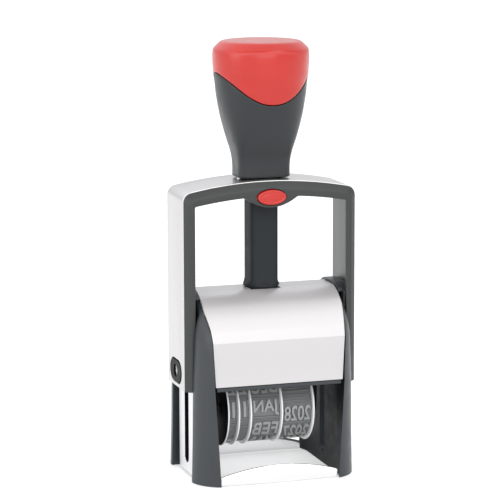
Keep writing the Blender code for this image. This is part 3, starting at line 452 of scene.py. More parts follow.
ALONG_X = (0.04, 1.0, 1.0)
ALONG_Z = (1.0, 1.0, 0.04)
FINISHES = {
    "strap": satin_metal("strap_satin", (0.575, 0.565, 0.565), 0.28, 0.34, ALONG_Z),
    # painted dark reflection: a dark copy of the strap steel, standing in for the dark surroundings
    # mirrored by the bow legs' inward faces and the skirts' top edges
    "painted_dark_reflection_steel": satin_metal("painted_dark_reflection_steel_satin", (0.15, 0.15, 0.15), 0.42, 0.5, ALONG_Z),
    "hood": satin_metal("hood_satin", (0.485, 0.475, 0.48), 0.27, 0.31, ALONG_X, 0.35),
    "plate": satin_metal("plate_satin", (0.70, 0.70, 0.71), 0.28, 0.36, ALONG_Z, 0.7),
    "chrome": satin_metal("bright_chrome", (0.81, 0.81, 0.82), 0.1, 0.14, ALONG_X),
    "steel": satin_metal("turned_steel", (0.6, 0.59, 0.58), 0.2, 0.3, (1.0, 0.2, 1.0)),
    "housing": moulded("housing_plastic", (0.022, 0.027, 0.031), 0.36, 0.45),
    # near-black plastic: the own colour of the black inner parts, and also painted shade on the inward
    # faces of cheeks, side plates and the leftmost wheel
    "inner": moulded("black_inner_and_painted_shade_plastic", (0.004, 0.005, 0.006), 0.5, 0.12),
    "bezel": moulded("bezel_plastic", (0.026, 0.028, 0.028), 0.42, 0.4),
    "grip": moulded("grip_plastic", (0.012, 0.015, 0.017), 0.36, 0.42, 0.008),
    "post": moulded("post_plastic", (0.019, 0.022, 0.024), 0.55, 0.12, 0.006),
    "red": moulded("cap_plastic", (0.41, 0.012, 0.006), 0.32, 0.35, 0.002, 0.35),
    "wheel": moulded("wheel_plastic", (0.72, 0.74, 0.74), 0.3, 0.5, 0.004, 0.3),
    "rubber": moulded("band_rubber", (0.14, 0.148, 0.15), 0.55, 0.3, 0.01),
    # a lighter copy of the band rubber: painted highlight on the raised characters
    "type": moulded("type_rubber_painted_highlight", (0.25, 0.26, 0.26), 0.5, 0.4, 0.006),
    "felt": felt("ink_felt", (0.02, 0.03, 0.17)),
}


def place(piece, body, slot, *nodes):
    """Puts a finished piece on its body in place of the CAD nodes that it stands for."""
    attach(piece, body)
    if nodes:
        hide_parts(*nodes)
    return piece


# ---- steel bow -----------------------------------------------------------------------------
def arch(half_width, crown_z, crown_radius, corner, foot_z, crown_steps=76):
    """Inverted U from the right foot over the slightly domed crown to the left foot."""
    centre_z = crown_z - crown_radius
    corner_x = half_width - corner
    reach = crown_radius - corner
    corner_z = centre_z + math.sqrt(reach ** 2 - corner_x ** 2)
    tilt = math.degrees(math.asin(corner_x / reach))
    right = arc((corner_x, corner_z), (corner, corner), 0.0, 90.0 - tilt, 12)
    crown = arc((0.0, centre_z), (crown_radius, crown_radius), 90.0 - tilt, 90.0 + tilt, crown_steps)
    left = arc((-corner_x, corner_z), (corner, corner), 90.0 + tilt, 180.0, 12)
    return [(half_width, foot_z)] + right + crown[1:-1] + left + [(-half_width, foot_z)]


def make_bow():
    low, high = span("steel_bow")
    outer = arch(high.x, high.z, CROWN_RADIUS, BOW_CORNER, low.z)
    inner = arch(high.x - BOW_THICKNESS, high.z - BOW_THICKNESS, CROWN_RADIUS - BOW_THICKNESS,
                 BOW_CORNER - BOW_THICKNESS, low.z)
    section = round_corners([(0.0, low.y), (BOW_THICKNESS, low.y), (BOW_THICKNESS, high.y),
                             (0.0, high.y)], 0.28)
    rings = []
    for o, i in zip(outer, inner):
        ring = []
        for depth, y in section:
            share = depth / BOW_THICKNESS
            ring.append((i[0] + (o[0] - i[0]) * share, y, i[1] + (o[1] - i[1]) * share))
        rings.append(ring)
    bow = loft("bow_strap", rings, FINISHES["strap"])
    pin_low, pin_high = span("left_axle_pin")
    centre_z = (pin_low.z + pin_high.z) / 2.0
    window = prism("window", stadium((0.0, centre_z), *BEARING_WINDOW), "X", -40.0, 40.0, None)
    hole = BOW_HOLE_HALF_WIDTH
    well = box("well", (-hole, -hole, 90.0), (hole, hole, 110.0))
    cut(bow, window, well)
    # the legs' inward faces take the dark steel: painted dark reflection
    bow.data.materials.append(FINISHES["painted_dark_reflection_steel"])
    limit = (high.x - BOW_THICKNESS + 0.05) * MM
    for face in bow.data.polygons:
        if abs(face.normal.x) > 0.8 and abs(face.center.x) < limit:
            face.material_index = 1
    ease_edges(bow, 0.16, 2, 60.0)
    place(bow, "bow", "satin_chrome", "steel_bow")


def boss_drop(x):
    """How far the bezel's lower edge swells down under the lock button."""
    return BOSS_DROP * max(0.0, 1.0 - (x / BOSS_HALF_WIDTH) ** 2)


def make_bezel():
    low, high = span("front_bezel")
    radius = CROWN_RADIUS + 5.0
    outer = arch(high.x, high.z, CROWN_RADIUS, BOW_CORNER, low.z)
    face = arch(high.x - BEZEL_SIDE_CHAMFER, high.z - BEZEL_TOP_CHAMFER, radius,
                BEZEL_FACE_CORNER, low.z)
    inner = arch(high.x - BEZEL_SIDE_WIDTH, high.z - BEZEL_TOP_WIDTH, radius,
                 BEZEL_INNER_CORNER, low.z)
    # section in (share, y): share 0 is the inner edge, 1 the face's outer edge, 2 the bow's edge
    section = round_corners([(0.0, high.y), (0.0, low.y), (1.0, low.y), (2.0, high.y)], 0.3, 4)
    rings = []
    for o, f, i in zip(outer, face, inner):
        edge = Vector((i[0], i[1] - boss_drop(i[0])))
        ring = []
        for share, y in section:
            if share <= 1.0:
                point = edge.lerp(Vector(f), share)
            else:
                point = Vector(f).lerp(Vector(o), share - 1.0)
            ring.append((point.x, y, point.y))
        rings.append(ring)
    bezel = loft("bezel_frame", rings, FINISHES["bezel"])
    button_low, button_high = span("lock_button")
    centre = (0.0, (button_low.z + button_high.z) / 2.0)
    radii = ((button_high.x - button_low.x) / 2.0 + GAP, (button_high.z - button_low.z) / 2.0 + GAP)
    hole = prism("hole", arc(centre, radii, 0.0, 360.0, 64)[:-1], "Y", -20.0, -5.0, None)
    cut(bezel, hole)
    ease_edges(bezel, 0.14, 2, 60.0)
    place(bezel, "bow", "black_plastic", "front_bezel")


def make_lock_button():
    low, high = span("lock_button")
    centre_z = (low.z + high.z) / 2.0
    half_width, half_height = high.x, (high.z - low.z) / 2.0
    # depth behind the front and inset of each ring: rim, shallow dish, dome
    profile = ((BUTTON_HEAD, 0.0), (0.55, 0.0), (0.3, 0.08), (0.12, 0.25), (0.06, 0.5),
               (0.12, 0.75), (0.2, 0.95), (0.16, 1.3), (0.08, 1.8), (0.04, 2.3))
    rings = []
    for depth, inset in profile:
        outline = arc((0.0, centre_z), (half_width - inset, half_height - inset), 0.0, 360.0, 64)[:-1]
        rings.append([(x, low.y + depth, z) for x, z in outline])
    button = loft("button_cap", rings, FINISHES["red"], 60.0)
    place(button, "button", "red_plastic", "lock_button")
    stem = prism("button_stem", circle((0.0, centre_z), BUTTON_STEM_RADIUS, 24), "Y",
                 low.y + BUTTON_HEAD, high.y, FINISHES["red"])
    place(stem, "button", "red_plastic")


# ---- handle --------------------------------------------------------------------------------
def shape_at(z):
    """Half width, half depth and squareness of the handle at a height, smoothly between rows."""
    rows = HANDLE_SHAPE
    k = 0
    while k < len(rows) - 2 and z > rows[k + 1][0]:
        k += 1
    a, b = rows[k], rows[k + 1]
    before, after = rows[max(k - 1, 0)], rows[min(k + 2, len(rows) - 1)]
    width = b[0] - a[0]
    t = min(max((z - a[0]) / width, 0.0), 1.0)
    values = []
    for i in (1, 2, 3):
        slope_a = (b[i] - before[i]) / (b[0] - before[0]) * width
        slope_b = (after[i] - a[i]) / (after[0] - a[0]) * width
        values.append((2 * t ** 3 - 3 * t ** 2 + 1) * a[i] + (t ** 3 - 2 * t ** 2 + t) * slope_a
                      + (-2 * t ** 3 + 3 * t ** 2) * b[i] + (t ** 3 - t ** 2) * slope_b)
    return values


def seam_z(angle):
    return SEAM_MEAN_Z + SEAM_WAVE * math.cos(2.0 * angle)


def handle_point(z, angle, inset=0.0):
    half_width, half_depth, power = shape_at(z)
    x, y = squircle(half_width - inset, half_depth - inset, power, angle)
    return (x, y, z)


def make_handle():
    steps, rows = 128, 44
    angles = [2.0 * math.pi * i / steps for i in range(steps)]
    bottom = HANDLE_SHAPE[0][0]
    grip_rings = [[handle_point(bottom, a, 0.35) for a in angles]]
    for k in range(rows + 1):
        share = k / rows
        grip_rings.append([handle_point(bottom + 0.3 + (seam_z(a) - 0.45 - bottom - 0.3) * share, a)
                           for a in angles])
    for drop, inset in ((0.25, 0.06), (0.15, 0.25), (0.12, 1.5)):
        grip_rings.append([handle_point(seam_z(a) - drop, a, inset) for a in angles])
    grip = loft("grip_body", grip_rings, FINISHES["grip"], 60.0)
    place(grip, "bow", "grip_plastic", "handle_grip")
    cap_rings = []
    for rise, inset in ((0.12, 1.5), (0.15, 0.25), (0.25, 0.06)):
        cap_rings.append([handle_point(seam_z(a) + rise, a, inset) for a in angles])
    for k in range(13):
        share = k / 12
        cap_rings.append([handle_point(seam_z(a) + 0.45 + (CAP_SIDE_TOP - seam_z(a) - 0.45) * share, a)
                          for a in angles])
    for z, radius in CAP_RIM:
        cap_rings.append([(radius * math.cos(a), radius * math.sin(a), z) for a in angles])
    cap = loft("cap_shell", cap_rings, FINISHES["red"], 60.0)
    place(cap, "bow", "red_plastic", "handle_cap")


# ---- post ----------------------------------------------------------------------------------
def make_post():
    low, high = span("post")
    collar_radius, half = high.x, POST_HALF_WIDTH
    angles = [2.0 * math.pi * i / 96 for i in range(96)]
    rings = [[(*squircle(half, half, 6.0, a), z) for a in angles] for z in (low.z, COLLAR_Z)]
    for inset, rise in ((0.35, 0.0), (0.1, 0.12), (0.0, 0.3), (0.0, 0.6)):
        radius = collar_radius - inset
        rings.append([(radius * math.cos(a), radius * math.sin(a), COLLAR_Z + rise) for a in angles])
    for i in range(1, 9):
        share = i / 8.0
        flare = (collar_radius - half - 0.05) * (1.0 - share) ** 1.6
        power = 2.0 + 4.0 * share ** 1.2
        rings.append([(*squircle(half + flare, half + flare, power, a),
                       COLLAR_Z + 0.6 + (COLLAR_TOP_Z - COLLAR_Z - 0.6) * share) for a in angles])
    rings.append([(*squircle(half, half, 6.0, a), high.z) for a in angles])
    post = loft("post_tube", rings, FINISHES["post"], 50.0)
    cut(post, prism("bore", circle((0.0, 0.0), POST_BORE[0]), "Z", POST_BORE[1], 120.0, None))
    place(post, "base", "black_plastic", "post")


# ---- hood ----------------------------------------------------------------------------------
def hood_curve(steps=32):
    """Side view of the hood from its crease down to its flat facet: (depth, height) points."""
    start, end = Vector((HOOD_CREASE_Y, span("pad_hood")[1].z)), Vector(HOOD_FACET)
    pull_start, pull_end = Vector(HOOD_PULLS[0]), Vector(HOOD_PULLS[1])
    points = []
    for i in range(steps + 1):
        t = i / steps
        u = 1.0 - t
        points.append(start * u ** 3 + pull_start * 3 * u * u * t
                      + pull_end * 3 * u * t * t + end * t ** 3)
    return [(p.x, p.y) for p in points]


def hood_half_width(depth):
    return HOOD_HALF_WIDTH - HOOD_NARROWING * max(0.0, (depth - 14.0) / (HOOD_BEND[0] - 14.0))


def hood_profile():
    """(y, z, half width) from the front edge over the crown to the rear edge."""
    curve = hood_curve()
    front = [(-HOOD_BEND[0] - 0.3, span("pad_hood")[0].z, HOOD_FOOT_HALF_WIDTH)]
    for depth, height in [HOOD_BEND] + curve[::-1]:
        front.append((-depth, height, hood_half_width(depth)))
    rear = [(depth, height, HOOD_HALF_WIDTH) for depth, height in curve if height > HOOD_REAR_END_Z]
    return front + rear


def hood_sections(profile, above, below, wider):
    """Sections of a bent sheet along the profile, as thick as asked above and below it."""
    sections = []
    for i, (y, z, half) in enumerate(profile):
        before, after = profile[max(i - 1, 0)], profile[min(i + 1, len(profile) - 1)]
        along = Vector((after[0] - before[0], after[1] - before[1])).normalized()
        out = Vector((-along.y, along.x))
        high = Vector((y, z)) + out * above
        low = Vector((y, z)) - out * below
        half += wider
        sections.append([(-half, high.x, high.y), (half, high.x, high.y),
                         (half, low.x, low.y), (-half, low.x, low.y)])
    return sections


def make_hood():
    hood = loft("hood_sheet", hood_sections(hood_profile(), 0.0, 1.0, 0.0), FINISHES["hood"], 8.0)
    hole = HOOD_HOLE_HALF_WIDTH
    cut(hood, box("well", (-hole, -hole, 60.0), (hole, hole, 70.0)))
    ease_edges(hood, 0.22, 3, 50.0)
    place(hood, "base", "satin_chrome", "pad_hood")


# ---- cheeks, plates, skirts ----------------------------------------------------------------
def between(rows, at):
    """Value at a height in a table of (height, value) rows."""
    for (low, first), (high, second) in zip(rows, rows[1:]):
        if at <= high:
            return first + (second - first) * (at - low) / (high - low)
    return rows[-1][1]


def cheek_front(z):
    """How far in front of the axle plane a cheek stands at a height."""
    rows = [(0.0, BASE_HALF_DEPTH), (span("pad_hood")[0].z, HOOD_BEND[0] + 0.3 + CHEEK_PROUD)]
    rows += [(height, depth + CHEEK_PROUD) for depth, height in [HOOD_BEND] + hood_curve()[::-1]]
    return between(rows, z)


def foot_corner(z, radius, arc_steps):
    """Outline of a foot in plan, from its lip around the wide outer corner: (x, depth)."""
    rise = min(z / span("pad_hood")[0].z, 1.0)
    lip = CHEEK_LIP[0] + (CHEEK_LIP[1] - CHEEK_LIP[0]) * rise
    depth, centre_x = cheek_front(z), between(FOOT_TAPER, z) + FOOT_ARC_RADIUS - radius
    centre_y = depth - math.sqrt(radius ** 2 - (lip - centre_x) ** 2)
    start = math.degrees(math.acos((lip - centre_x) / radius))
    end = math.degrees(math.asin(max(0.07, (0.5 - centre_y) / radius)))
    return arc((centre_x, centre_y), (radius, radius), start, end, arc_steps)


def cheek_plan(z, side, arc_steps=28):
    """Plan outline of a cheek: inner wall, and a foot with a rounded corner at each end."""
    inner_y = cheek_front(z) - 5.0
    front = [(x, -y) for x, y in foot_corner(z, FOOT_ARC_RADIUS, arc_steps)]
    rear = foot_corner(z, REAR_FOOT_ARC_RADIUS, arc_steps)[::-1]
    outline = [(CHEEK_INNER_X, -inner_y)] + front + rear + [(CHEEK_INNER_X, inner_y)]
    return [(side * x, y, z) for x, y in outline]


def cap_outline():
    """Side view of a cheek's top, which follows the hood's curve: (y, z)."""
    rows = hood_curve()[::-1]
    end_z = between(rows[::-1], CAP_HALF_DEPTH) + CAP_RISE
    front = [(-CAP_HALF_DEPTH, CAP_LOW_Z), (-CAP_HALF_DEPTH, end_z)]
    front += [(-depth, height + CAP_RISE) for depth, height in rows if depth < CAP_HALF_DEPTH - 0.2]
    return front + [(-y, z) for y, z in reversed(front)]


def side_box(name, side, inner, outer, low, high):
    """Box helper on one side: inner and outer are distances from the middle, low and high (y, z)."""
    left, right = sorted((side * inner, side * outer))
    return box(name, (left, low[0], low[1]), (right, high[0], high[1]))


def make_cheek(name, side):
    heights = [0.0, 5.0, 10.0, 15.0, 20.0, 25.0, 30.0, span("pad_hood")[0].z, 40.0, 45.0, HOOD_BEND[1]]
    heights += [height for depth, height in hood_curve()[::-1] if depth > HOOD_CREASE_Y + 0.1]
    cheek = loft(name + "_housing", [cheek_plan(z, side) for z in heights], FINISHES["housing"], 30.0)
    cut(cheek, side_box("bow_groove", side, CHEEK_OUTER_X, 40.0, (-GROOVE_HALF_WIDTH, -1.0),
                        (GROOVE_HALF_WIDTH, 80.0)))
    unite(cheek, prism("cap", cap_outline(), "X", *sorted((side * CHEEK_INNER_X, side * CAP_OUTER_X)),
                       None))
    rebate = loft("rebate", hood_sections(hood_profile(), 4.0, 1.0 + GAP, GAP), None)
    slot = prism("slot", upright_slot(SLOT_HALF_WIDTH, *SLOT_ENDS), "X", -40.0, 40.0, None)
    cut(cheek, rebate, slot)
    # inward faces take the near-black plastic: painted shade inside the housing
    cheek.data.materials.append(FINISHES["inner"])
    for face in cheek.data.polygons:
        in_painted_shade = abs(face.center.x) < (CHEEK_INNER_X + 1.1) * MM and face.normal.x * side < -0.5
        face.material_index = 1 if in_painted_shade else 0
    ease_edges(cheek, 0.35, 3, 35.0)
    place(cheek, "base", "black_plastic", name)


def make_side_plate(name, side):
    low, high = span(name)
    outline = [(low.y, low.z), (high.y, low.z), (high.y, high.z), (low.y, high.z)]
    plate = prism(name + "_sheet", outline, "X", low.x, high.x, FINISHES["plate"])
    cut(plate, prism("slot", upright_slot(SLOT_HALF_WIDTH, *SLOT_ENDS), "X", -40.0, 40.0, None))
    # every face but the outward one takes the near-black plastic: painted shade on the plate's inner
    # side and edges
    plate.data.materials.append(FINISHES["inner"])
    for face in plate.data.polygons:
        face.material_index = 0 if face.normal.x * side > 0.5 else 1
    ease_edges(plate, 0.2, 3)
    place(plate, "base", "satin_chrome", name)


def make_skirt(name, facing, steps=48):
    high = span(name)[1]
    half = high.x
    # section in (depth, share of the height)
    section = round_corners([(0.0, 0.0), (0.0, 1.0), (SKIRT_THICKNESS, 1.0), (SKIRT_THICKNESS, 0.0)],
                            0.22)
    sections = []
    for i in range(steps + 1):
        x = -half + 2.0 * half * i / steps
        swell = 1.0 - (x / half) ** 2
        outer = facing * (SKIRT_END_Y + SKIRT_MIDDLE * swell)
        top = SKIRT_END_HEIGHT + (high.z - SKIRT_END_HEIGHT) * swell
        sections.append([(x, outer - facing * depth, rise * top) for depth, rise in section])
    skirt = loft(name + "_sheet", sections, FINISHES["chrome"], 50.0)
    # the upward-facing rim takes the dark steel: a painted dark reflection along the skirt's top edge
    skirt.data.materials.append(FINISHES["painted_dark_reflection_steel"])
    for face in skirt.data.polygons:
        face.material_index = 1 if face.normal.z > 0.8 else 0
    place(skirt, "base", "bright_chrome", name)


def make_front_wall():
    low, high = span("front_wall")
    upright_y, lip_z = high.y - WALL_THICKNESS, low.z + WALL_LIP
    outline = round_corners([(low.y, low.z), (high.y, low.z), (high.y, high.z), (upright_y, high.z),
                             (upright_y, lip_z), (low.y, lip_z)], 0.3)
    wall = prism("front_wall_rib", outline, "X", low.x, high.x, FINISHES["housing"])
    place(wall, "base", "black_plastic", "front_wall")


# ---- date wheels and bands -----------------------------------------------------------------
def make_wheel(node, body):
    """Drum and thumb discs turned about the shaft, with rounded rims."""
    low, high = span(node)
    centre_z, radius, bore = (low.z + high.z) / 2.0, (high.z - low.z) / 2.0, SHAFT_BORE
    thick = DISC_THICKNESS
    discs = [low.x] + ([high.x - thick] if node == "year_wheel" else [])
    outline = [(low.x, bore)]
    for left in discs:
        if left > low.x:
            outline.append((left, DRUM_RADIUS))
        outline += [(left, radius - 0.2), (left + 0.08, radius - 0.05), (left + 0.22, radius),
                    (left + thick - 0.22, radius), (left + thick - 0.08, radius - 0.05),
                    (left + thick, radius - 0.2)]
        if left == low.x:
            outline.append((left + thick, DRUM_RADIUS))
    if node != "year_wheel":
        outline.append((high.x, DRUM_RADIUS))
    outline.append((high.x, bore))
    steps = 128
    points, faces = [], []
    for i in range(steps):
        angle = 2.0 * math.pi * i / steps
        points += [(x, r * math.cos(angle), centre_z + r * math.sin(angle)) for x, r in outline]
    count = len(outline)
    for i in range(steps):
        here, there = i * count, ((i + 1) % steps) * count
        for k in range(count):
            m = (k + 1) % count
            faces.append((here + k, here + m, there + m, there + k))
    wheel = add_mesh(node + "_turned", points, faces, FINISHES["wheel"])
    # the left face of the outermost wheel takes the near-black plastic: painted shade from the dark
    # interior beside it
    if node == "day_tens_wheel":
        wheel.data.materials.append(FINISHES["inner"])
        for face in wheel.data.polygons:
            face.material_index = 1 if face.normal.x < -0.95 else 0
    place(wheel, body, "wheel_plastic", node)


class Belt:
    """Loop around the wheels below and the nose above, measured along its length."""

    def __init__(self, low_radius, high_radius, low_z, high_z):
        self.low_radius, self.high_radius = low_radius, high_radius
        self.low_z, self.high_z = low_z, high_z
        self.lean = math.asin((low_radius - high_radius) / (high_z - low_z))
        self.straight = (high_z - low_z) * math.cos(self.lean)
        self.low_arc = (math.pi + 2.0 * self.lean) * low_radius
        self.high_arc = (math.pi - 2.0 * self.lean) * high_radius
        self.length = self.low_arc + self.high_arc + 2.0 * self.straight

    def at(self, distance, lift=0.0):
        """Point (y, z) at a distance from the loop's lowest point, going up the front side."""
        s = distance % self.length
        if s > self.length / 2.0:
            y, z = self.at(self.length - s, lift)
            return (-y, z)
        half_low = self.low_arc / 2.0
        if s <= half_low:
            angle = s / self.low_radius
            r = self.low_radius + lift
            return (-r * math.sin(angle), self.low_z - r * math.cos(angle))
        s -= half_low
        turned = math.pi / 2.0 + self.lean
        out = Vector((-math.sin(turned), -math.cos(turned)))
        if s <= self.straight:
            start = Vector((0.0, self.low_z)) + out * (self.low_radius + lift)
            end = Vector((0.0, self.high_z)) + out * (self.high_radius + lift)
            point = start.lerp(end, s / self.straight)
            return (point.x, point.y)
        angle = turned + (s - self.straight) / self.high_radius
        r = self.high_radius + lift
        return (-r * math.sin(angle), self.high_z - r * math.cos(angle))


def character_mesh(text, width):
    """Raised mirrored type, sliced into rows so that it can bend around the belt."""
    curve = bpy.data.curves.new("type", "FONT")
    curve.body = text
    curve.align_x, curve.align_y = "CENTER", "CENTER"
    curve.size = CHARACTER_HEIGHT
    curve.offset = TYPE_STROKE
    curve.extrude = CHARACTER_RELIEF / 2.0
    curve.resolution_u = 4
    typed = bpy.data.objects.new("type", curve)
    bpy.context.collection.objects.link(typed)
    view = bpy.context.evaluated_depsgraph_get()
    mesh = bpy.data.meshes.new_from_object(typed.evaluated_get(view))
    bpy.data.objects.remove(typed, do_unlink=True)
    work = bmesh.new()
    work.from_mesh(mesh)
    bpy.data.meshes.remove(mesh)
    bmesh.ops.remove_doubles(work, verts=work.verts, dist=1e-4)
    xs, ys = [v.co.x for v in work.verts], [v.co.y for v in work.verts]
    across = width / (max(xs) - min(xs)) if len(text) > 1 else DIGIT_STRETCH
    up = CHARACTER_HEIGHT / (max(ys) - min(ys))
    for vertex in work.verts:
        vertex.co.x = (min(xs) + max(xs) - 2.0 * vertex.co.x) / 2.0 * across
        vertex.co.y = (vertex.co.y - (min(ys) + max(ys)) / 2.0) * up
    bmesh.ops.reverse_faces(work, faces=work.faces)
    slices = 9
    for i in range(1, slices):
        level = CHARACTER_HEIGHT * (i / slices - 0.5)
        bmesh.ops.bisect_plane(work, geom=work.verts[:] + work.edges[:] + work.faces[:],
                               plane_co=(0.0, level, 0.0), plane_no=(0.0, 1.0, 0.0))
    # the characters use the band's second slot, the lighter rubber that paints a highlight on them
    for face in work.faces:
        face.material_index = 1
    return work


def rib_height(distance, rows, pitch, length):
    """Relief of the fine ribs that fill the band between its rows of characters."""
    gaps = []
    for row, text in enumerate(rows):
        if text:
            gap = abs(distance - row * pitch) % length
            gaps.append(min(gap, length - gap))
    beyond = min(gaps) - CHARACTER_HEIGHT / 2.0 - RIB_MARGIN
    return RIB_RELIEF if beyond > 0.0 and beyond % RIB_PITCH < RIB_PITCH / 2.0 else 0.0


def make_band(node):
    """Rubber loop with raised mirrored characters and fine ribs between its rows."""
    low, high = span(node)
    wheel_low, wheel_high = span("month_wheel")
    wheel_z = (wheel_low.z + wheel_high.z) / 2.0
    nose_z = span("band_nose")[1].z - NOSE_RADIUS
    base = RUBBER_THICKNESS - CHARACTER_RELIEF
    inner = Belt(DRUM_RADIUS + GAP, NOSE_RADIUS + GAP, wheel_z, nose_z)
    outer = Belt(DRUM_RADIUS + GAP + base, NOSE_RADIUS + GAP + base, wheel_z, nose_z)
    centre, width = (low.x + high.x) / 2.0, high.x - low.x
    rows = BAND_ROWS[node]
    pitch = outer.length / len(rows)
    first = outer.low_radius * math.radians(90.0 + BAND_PHASE[node])
    steps = 720
    points, faces = [], []
    for i in range(steps):
        s = outer.length * i / steps
        skin = outer.at(s, rib_height(s - first, rows, pitch, outer.length))
        back = inner.at(inner.length * i / steps)
        points += [(low.x, *skin), (high.x, *skin), (high.x, *back), (low.x, *back)]
    for i in range(steps):
        here, there = i * 4, ((i + 1) % steps) * 4
        for k in range(4):
            m = (k + 1) % 4
            faces.append((here + k, here + m, there + m, there + k))
    band = add_mesh(node + "_loop", points, faces, FINISHES["rubber"], 25.0)
    # second slot: the lighter rubber, a painted highlight for the characters
    band.data.materials.append(FINISHES["type"])
    work = bmesh.new()
    work.from_mesh(band.data)
    for row, text in enumerate(rows):
        if not text:
            continue
        letters = character_mesh(text, width - TYPE_SIDE_ROOM)
        for vertex in letters.verts:
            x, along, up = vertex.co
            y, z = outer.at(first + row * pitch + along, up + CHARACTER_RELIEF / 2.0 - TYPE_SINK)
            vertex.co = Vector((centre + x, y, z)) * MM
        text_mesh = bpy.data.meshes.new("letters")
        letters.to_mesh(text_mesh)
        letters.free()
        work.from_mesh(text_mesh)
        bpy.data.meshes.remove(text_mesh)
    work.to_mesh(band.data)
    work.free()
    band.data.set_sharp_from_angle(angle=math.radians(25.0))
    place(band, "carriage", "band_rubber", node)


# ---- springs -------------------------------------------------------------------------------
def coil(name, radius, wire, length, turns, per_turn=28, sides=10):
    """Round wire wound about +Z from 0 to length."""
    steps = turns * per_turn
    path = []
    for i in range(steps + 1):
        angle = 2.0 * math.pi * i / per_turn
        height = wire + (length - 2.0 * wire) * i / steps
        path.append(Vector((radius * math.cos(angle), radius * math.sin(angle), height)))
    rings = []
    for i, point in enumerate(path):
        ahead = path[min(i + 1, steps)] - path[max(i - 1, 0)]
        across = ahead.cross(Vector((0.0, 0.0, 1.0))).normalized()
        up = across.cross(ahead).normalized()
        rings.append([point + across * wire * math.cos(a) + up * wire * math.sin(a)
                      for a in (2.0 * math.pi * k / sides for k in range(sides))])
    return loft(name, rings, FINISHES["steel"], 60.0)


def make_springs():
    """Both springs, wound as coils and carried on the bow."""
    low, high = span("press_spring")
    length = high.z - low.z
    press = coil("handle_spring", PRESS_SPRING[0], PRESS_SPRING[1], length, PRESS_SPRING[2])
    press.data.transform(Matrix.Translation((0.0, 0.0, low.z * MM)))
    place(press, "bow", "steel", "press_spring")
    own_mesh(press)
    low, high = span("lock_spring")
    length, centre_z = high.y - low.y, (low.z + high.z) / 2.0
    lock = coil("button_spring", LOCK_SPRING[0], LOCK_SPRING[1], length, LOCK_SPRING[2])
    laid = Matrix.Rotation(-math.pi / 2.0, 4, "X")
    lock.data.transform(Matrix.Translation((0.0, low.y * MM, centre_z * MM)) @ laid)
    place(lock, "bow", "steel", "lock_spring")
    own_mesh(lock)


# ---- CAD nodes that keep their own shape ---------------------------------------------------
KEPT = {
    "inner": ("top_bridge", "post_bush", "spring_plug", "pad_tray", "carriage_frame",
              "left_bearing", "right_bearing"),
    "rubber": ("text_rubber",),
    "wheel": ("band_nose",),
    "felt": ("ink_pad",),
    "steel": ("left_axle_pin", "right_axle_pin", "left_flip_pin", "right_flip_pin", "wheel_shaft",
              "post_screw", "left_handle_screw", "right_handle_screw",
              "left_front_cheek_screw", "left_rear_cheek_screw", "right_front_cheek_screw",
              "right_rear_cheek_screw"),
}


def finish_kept_nodes():
    for finish, nodes in KEPT.items():
        for node in nodes:
            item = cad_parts[node]
            item.data.materials.clear()
            item.data.materials.append(FINISHES[finish])
            if finish == "inner":
                step = item.modifiers.new("ease", "BEVEL")
                step.width = 0.15 * MM
                step.segments = 2
                step.limit_method = "ANGLE"
                step.angle_limit = math.radians(50.0)


# ---- stage ---------------------------------------------------------------------------------
def make_camera():
    azimuth, elevation = math.radians(CAMERA_AZIMUTH), math.radians(CAMERA_ELEVATION)
    back = Vector((math.sin(azimuth) * math.cos(elevation), -math.cos(azimuth) * math.cos(elevation),
                   math.sin(elevation)))
    data = bpy.data.cameras.new("camera")
    data.lens = CAMERA_LENS
    data.sensor_width = 36.0
    data.clip_start, data.clip_end = 0.01, 50.0
    camera = bpy.data.objects.new("camera", data)
    bpy.context.collection.objects.link(camera)
    turn = (-back).to_track_quat("-Z", "Y").to_matrix().to_4x4()
    roll = Matrix.Rotation(math.radians(CAMERA_ROLL), 4, "Z")
    place_at = Matrix.Translation((Vector(CAMERA_TARGET) + back * CAMERA_DISTANCE) * MM)
    camera.matrix_world = place_at @ turn @ roll
    bpy.context.scene.camera = camera


def make_floor():
    """Wide pale floor just under the feet, in metres."""
    mesh = bpy.data.meshes.new("floor")
    half = 8.0
    mesh.from_pydata([(-half, -half, -0.0002), (half, -half, -0.0002), (half, half, -0.0002),
                      (-half, half, -0.0002)], [], [(0, 1, 2, 3)])
    floor = bpy.data.objects.new("floor", mesh)
    bpy.context.collection.objects.link(floor)
    finish = Finish("floor_white", (0.62, 0.62, 0.62), 0.6)
    finish.vary_roughness(4.0, 0.55, 0.65)
    finish.shader.inputs["Emission Color"].default_value = (1.0, 1.0, 1.0, 1.0)
    finish.shader.inputs["Emission Strength"].default_value = FLOOR_GLOW
    mesh.materials.append(finish.material)


def add_softbox(name, location, target, size, power):
    data = bpy.data.lights.new(name, "AREA")
    data.shape = "RECTANGLE"
    data.size, data.size_y = size
    data.energy = power
    light = bpy.data.objects.new(name, data)
    bpy.context.collection.objects.link(light)
    light.location = location
    aim = Vector(target) - Vector(location)
    light.rotation_mode = "QUATERNION"
    light.rotation_quaternion = aim.to_track_quat("-Z", "Y")


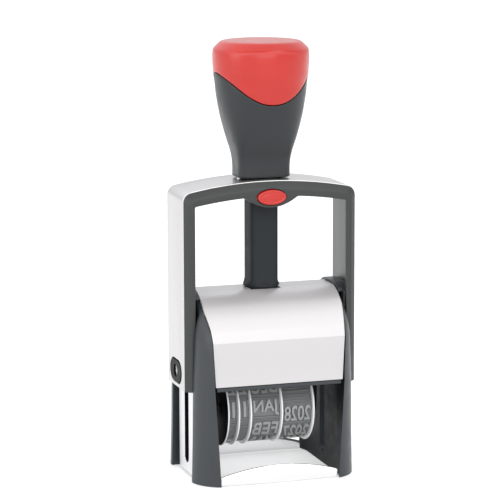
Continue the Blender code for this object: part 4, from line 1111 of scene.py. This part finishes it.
def tent_colour(nodes, links):
    """Colour of the studio tent by direction, from the front horizon over the top to the rear."""
    coords = nodes.new("ShaderNodeTexCoord")
    split = nodes.new("ShaderNodeSeparateXYZ")
    links.new(coords.outputs["Generated"], split.inputs["Vector"])
    forward = nodes.new("ShaderNodeMath")
    forward.operation = "MULTIPLY"
    forward.inputs[1].default_value = -1.0
    links.new(split.outputs["Y"], forward.inputs[0])
    turn = nodes.new("ShaderNodeMath")
    turn.operation = "ARCTAN2"
    links.new(split.outputs["Z"], turn.inputs[0])
    links.new(forward.outputs[0], turn.inputs[1])
    share = nodes.new("ShaderNodeMath")
    share.operation = "DIVIDE"
    share.inputs[1].default_value = math.pi
    links.new(turn.outputs[0], share.inputs[0])
    ramp = nodes.new("ShaderNodeValToRGB")
    links.new(share.outputs[0], ramp.inputs["Fac"])
    stops = ramp.color_ramp.elements
    stops[0].position, stops[1].position = TENT[0][0] / 180.0, TENT[-1][0] / 180.0
    for degrees, _ in TENT[1:-1]:
        stops.new(degrees / 180.0)
    for stop, (_, colour) in zip(stops, TENT):
        stop.color = (*[c / TENT_STRENGTH for c in colour], 1.0)
    fall = nodes.new("ShaderNodeMath")
    fall.operation = "MULTIPLY_ADD"
    fall.inputs[1].default_value, fall.inputs[2].default_value = -SIDE_FALL, 1.0
    links.new(split.outputs["X"], fall.inputs[0])
    dimmed = nodes.new("ShaderNodeVectorMath")
    dimmed.operation = "SCALE"
    links.new(ramp.outputs["Color"], dimmed.inputs[0])
    links.new(fall.outputs[0], dimmed.inputs["Scale"])
    return dimmed.outputs["Vector"]


def make_light():
    world = bpy.data.worlds.new("tent")
    world.use_nodes = True
    bpy.context.scene.world = world
    nodes, links = world.node_tree.nodes, world.node_tree.links
    links.new(tent_colour(nodes, links), nodes["Background"].inputs["Color"])
    nodes["Background"].inputs["Strength"].default_value = TENT_STRENGTH
    add_softbox("key", (0.35, -0.6, 0.9), (0.0, 0.0, 0.05), (0.6, 0.6), 2.0)
    add_softbox("front_fill", (-0.1, -1.1, 0.32), (0.0, 0.0, 0.02), (0.9, 0.3), 1.5)
    add_softbox("left_fill", (-1.0, -0.2, 0.3), (0.0, 0.0, 0.1), (0.5, 0.5), 1.0)
    bpy.context.scene.view_settings.view_transform = "Standard"


def main():
    make_camera()
    make_floor()
    make_light()
    make_bow()
    make_bezel()
    make_lock_button()
    make_handle()
    make_post()
    make_hood()
    for name, side in (("left_cheek", -1), ("right_cheek", 1)):
        make_cheek(name, side)
    for name, side in (("left_side_plate", -1), ("right_side_plate", 1)):
        make_side_plate(name, side)
    for name, facing in (("front_skirt", -1), ("rear_skirt", 1)):
        make_skirt(name, facing)
    make_front_wall()
    for body in ("day_tens", "day_units", "month", "year"):
        make_wheel(body + "_wheel", body)
        make_band(body + "_band")
    make_springs()
    finish_kept_nodes()


main()
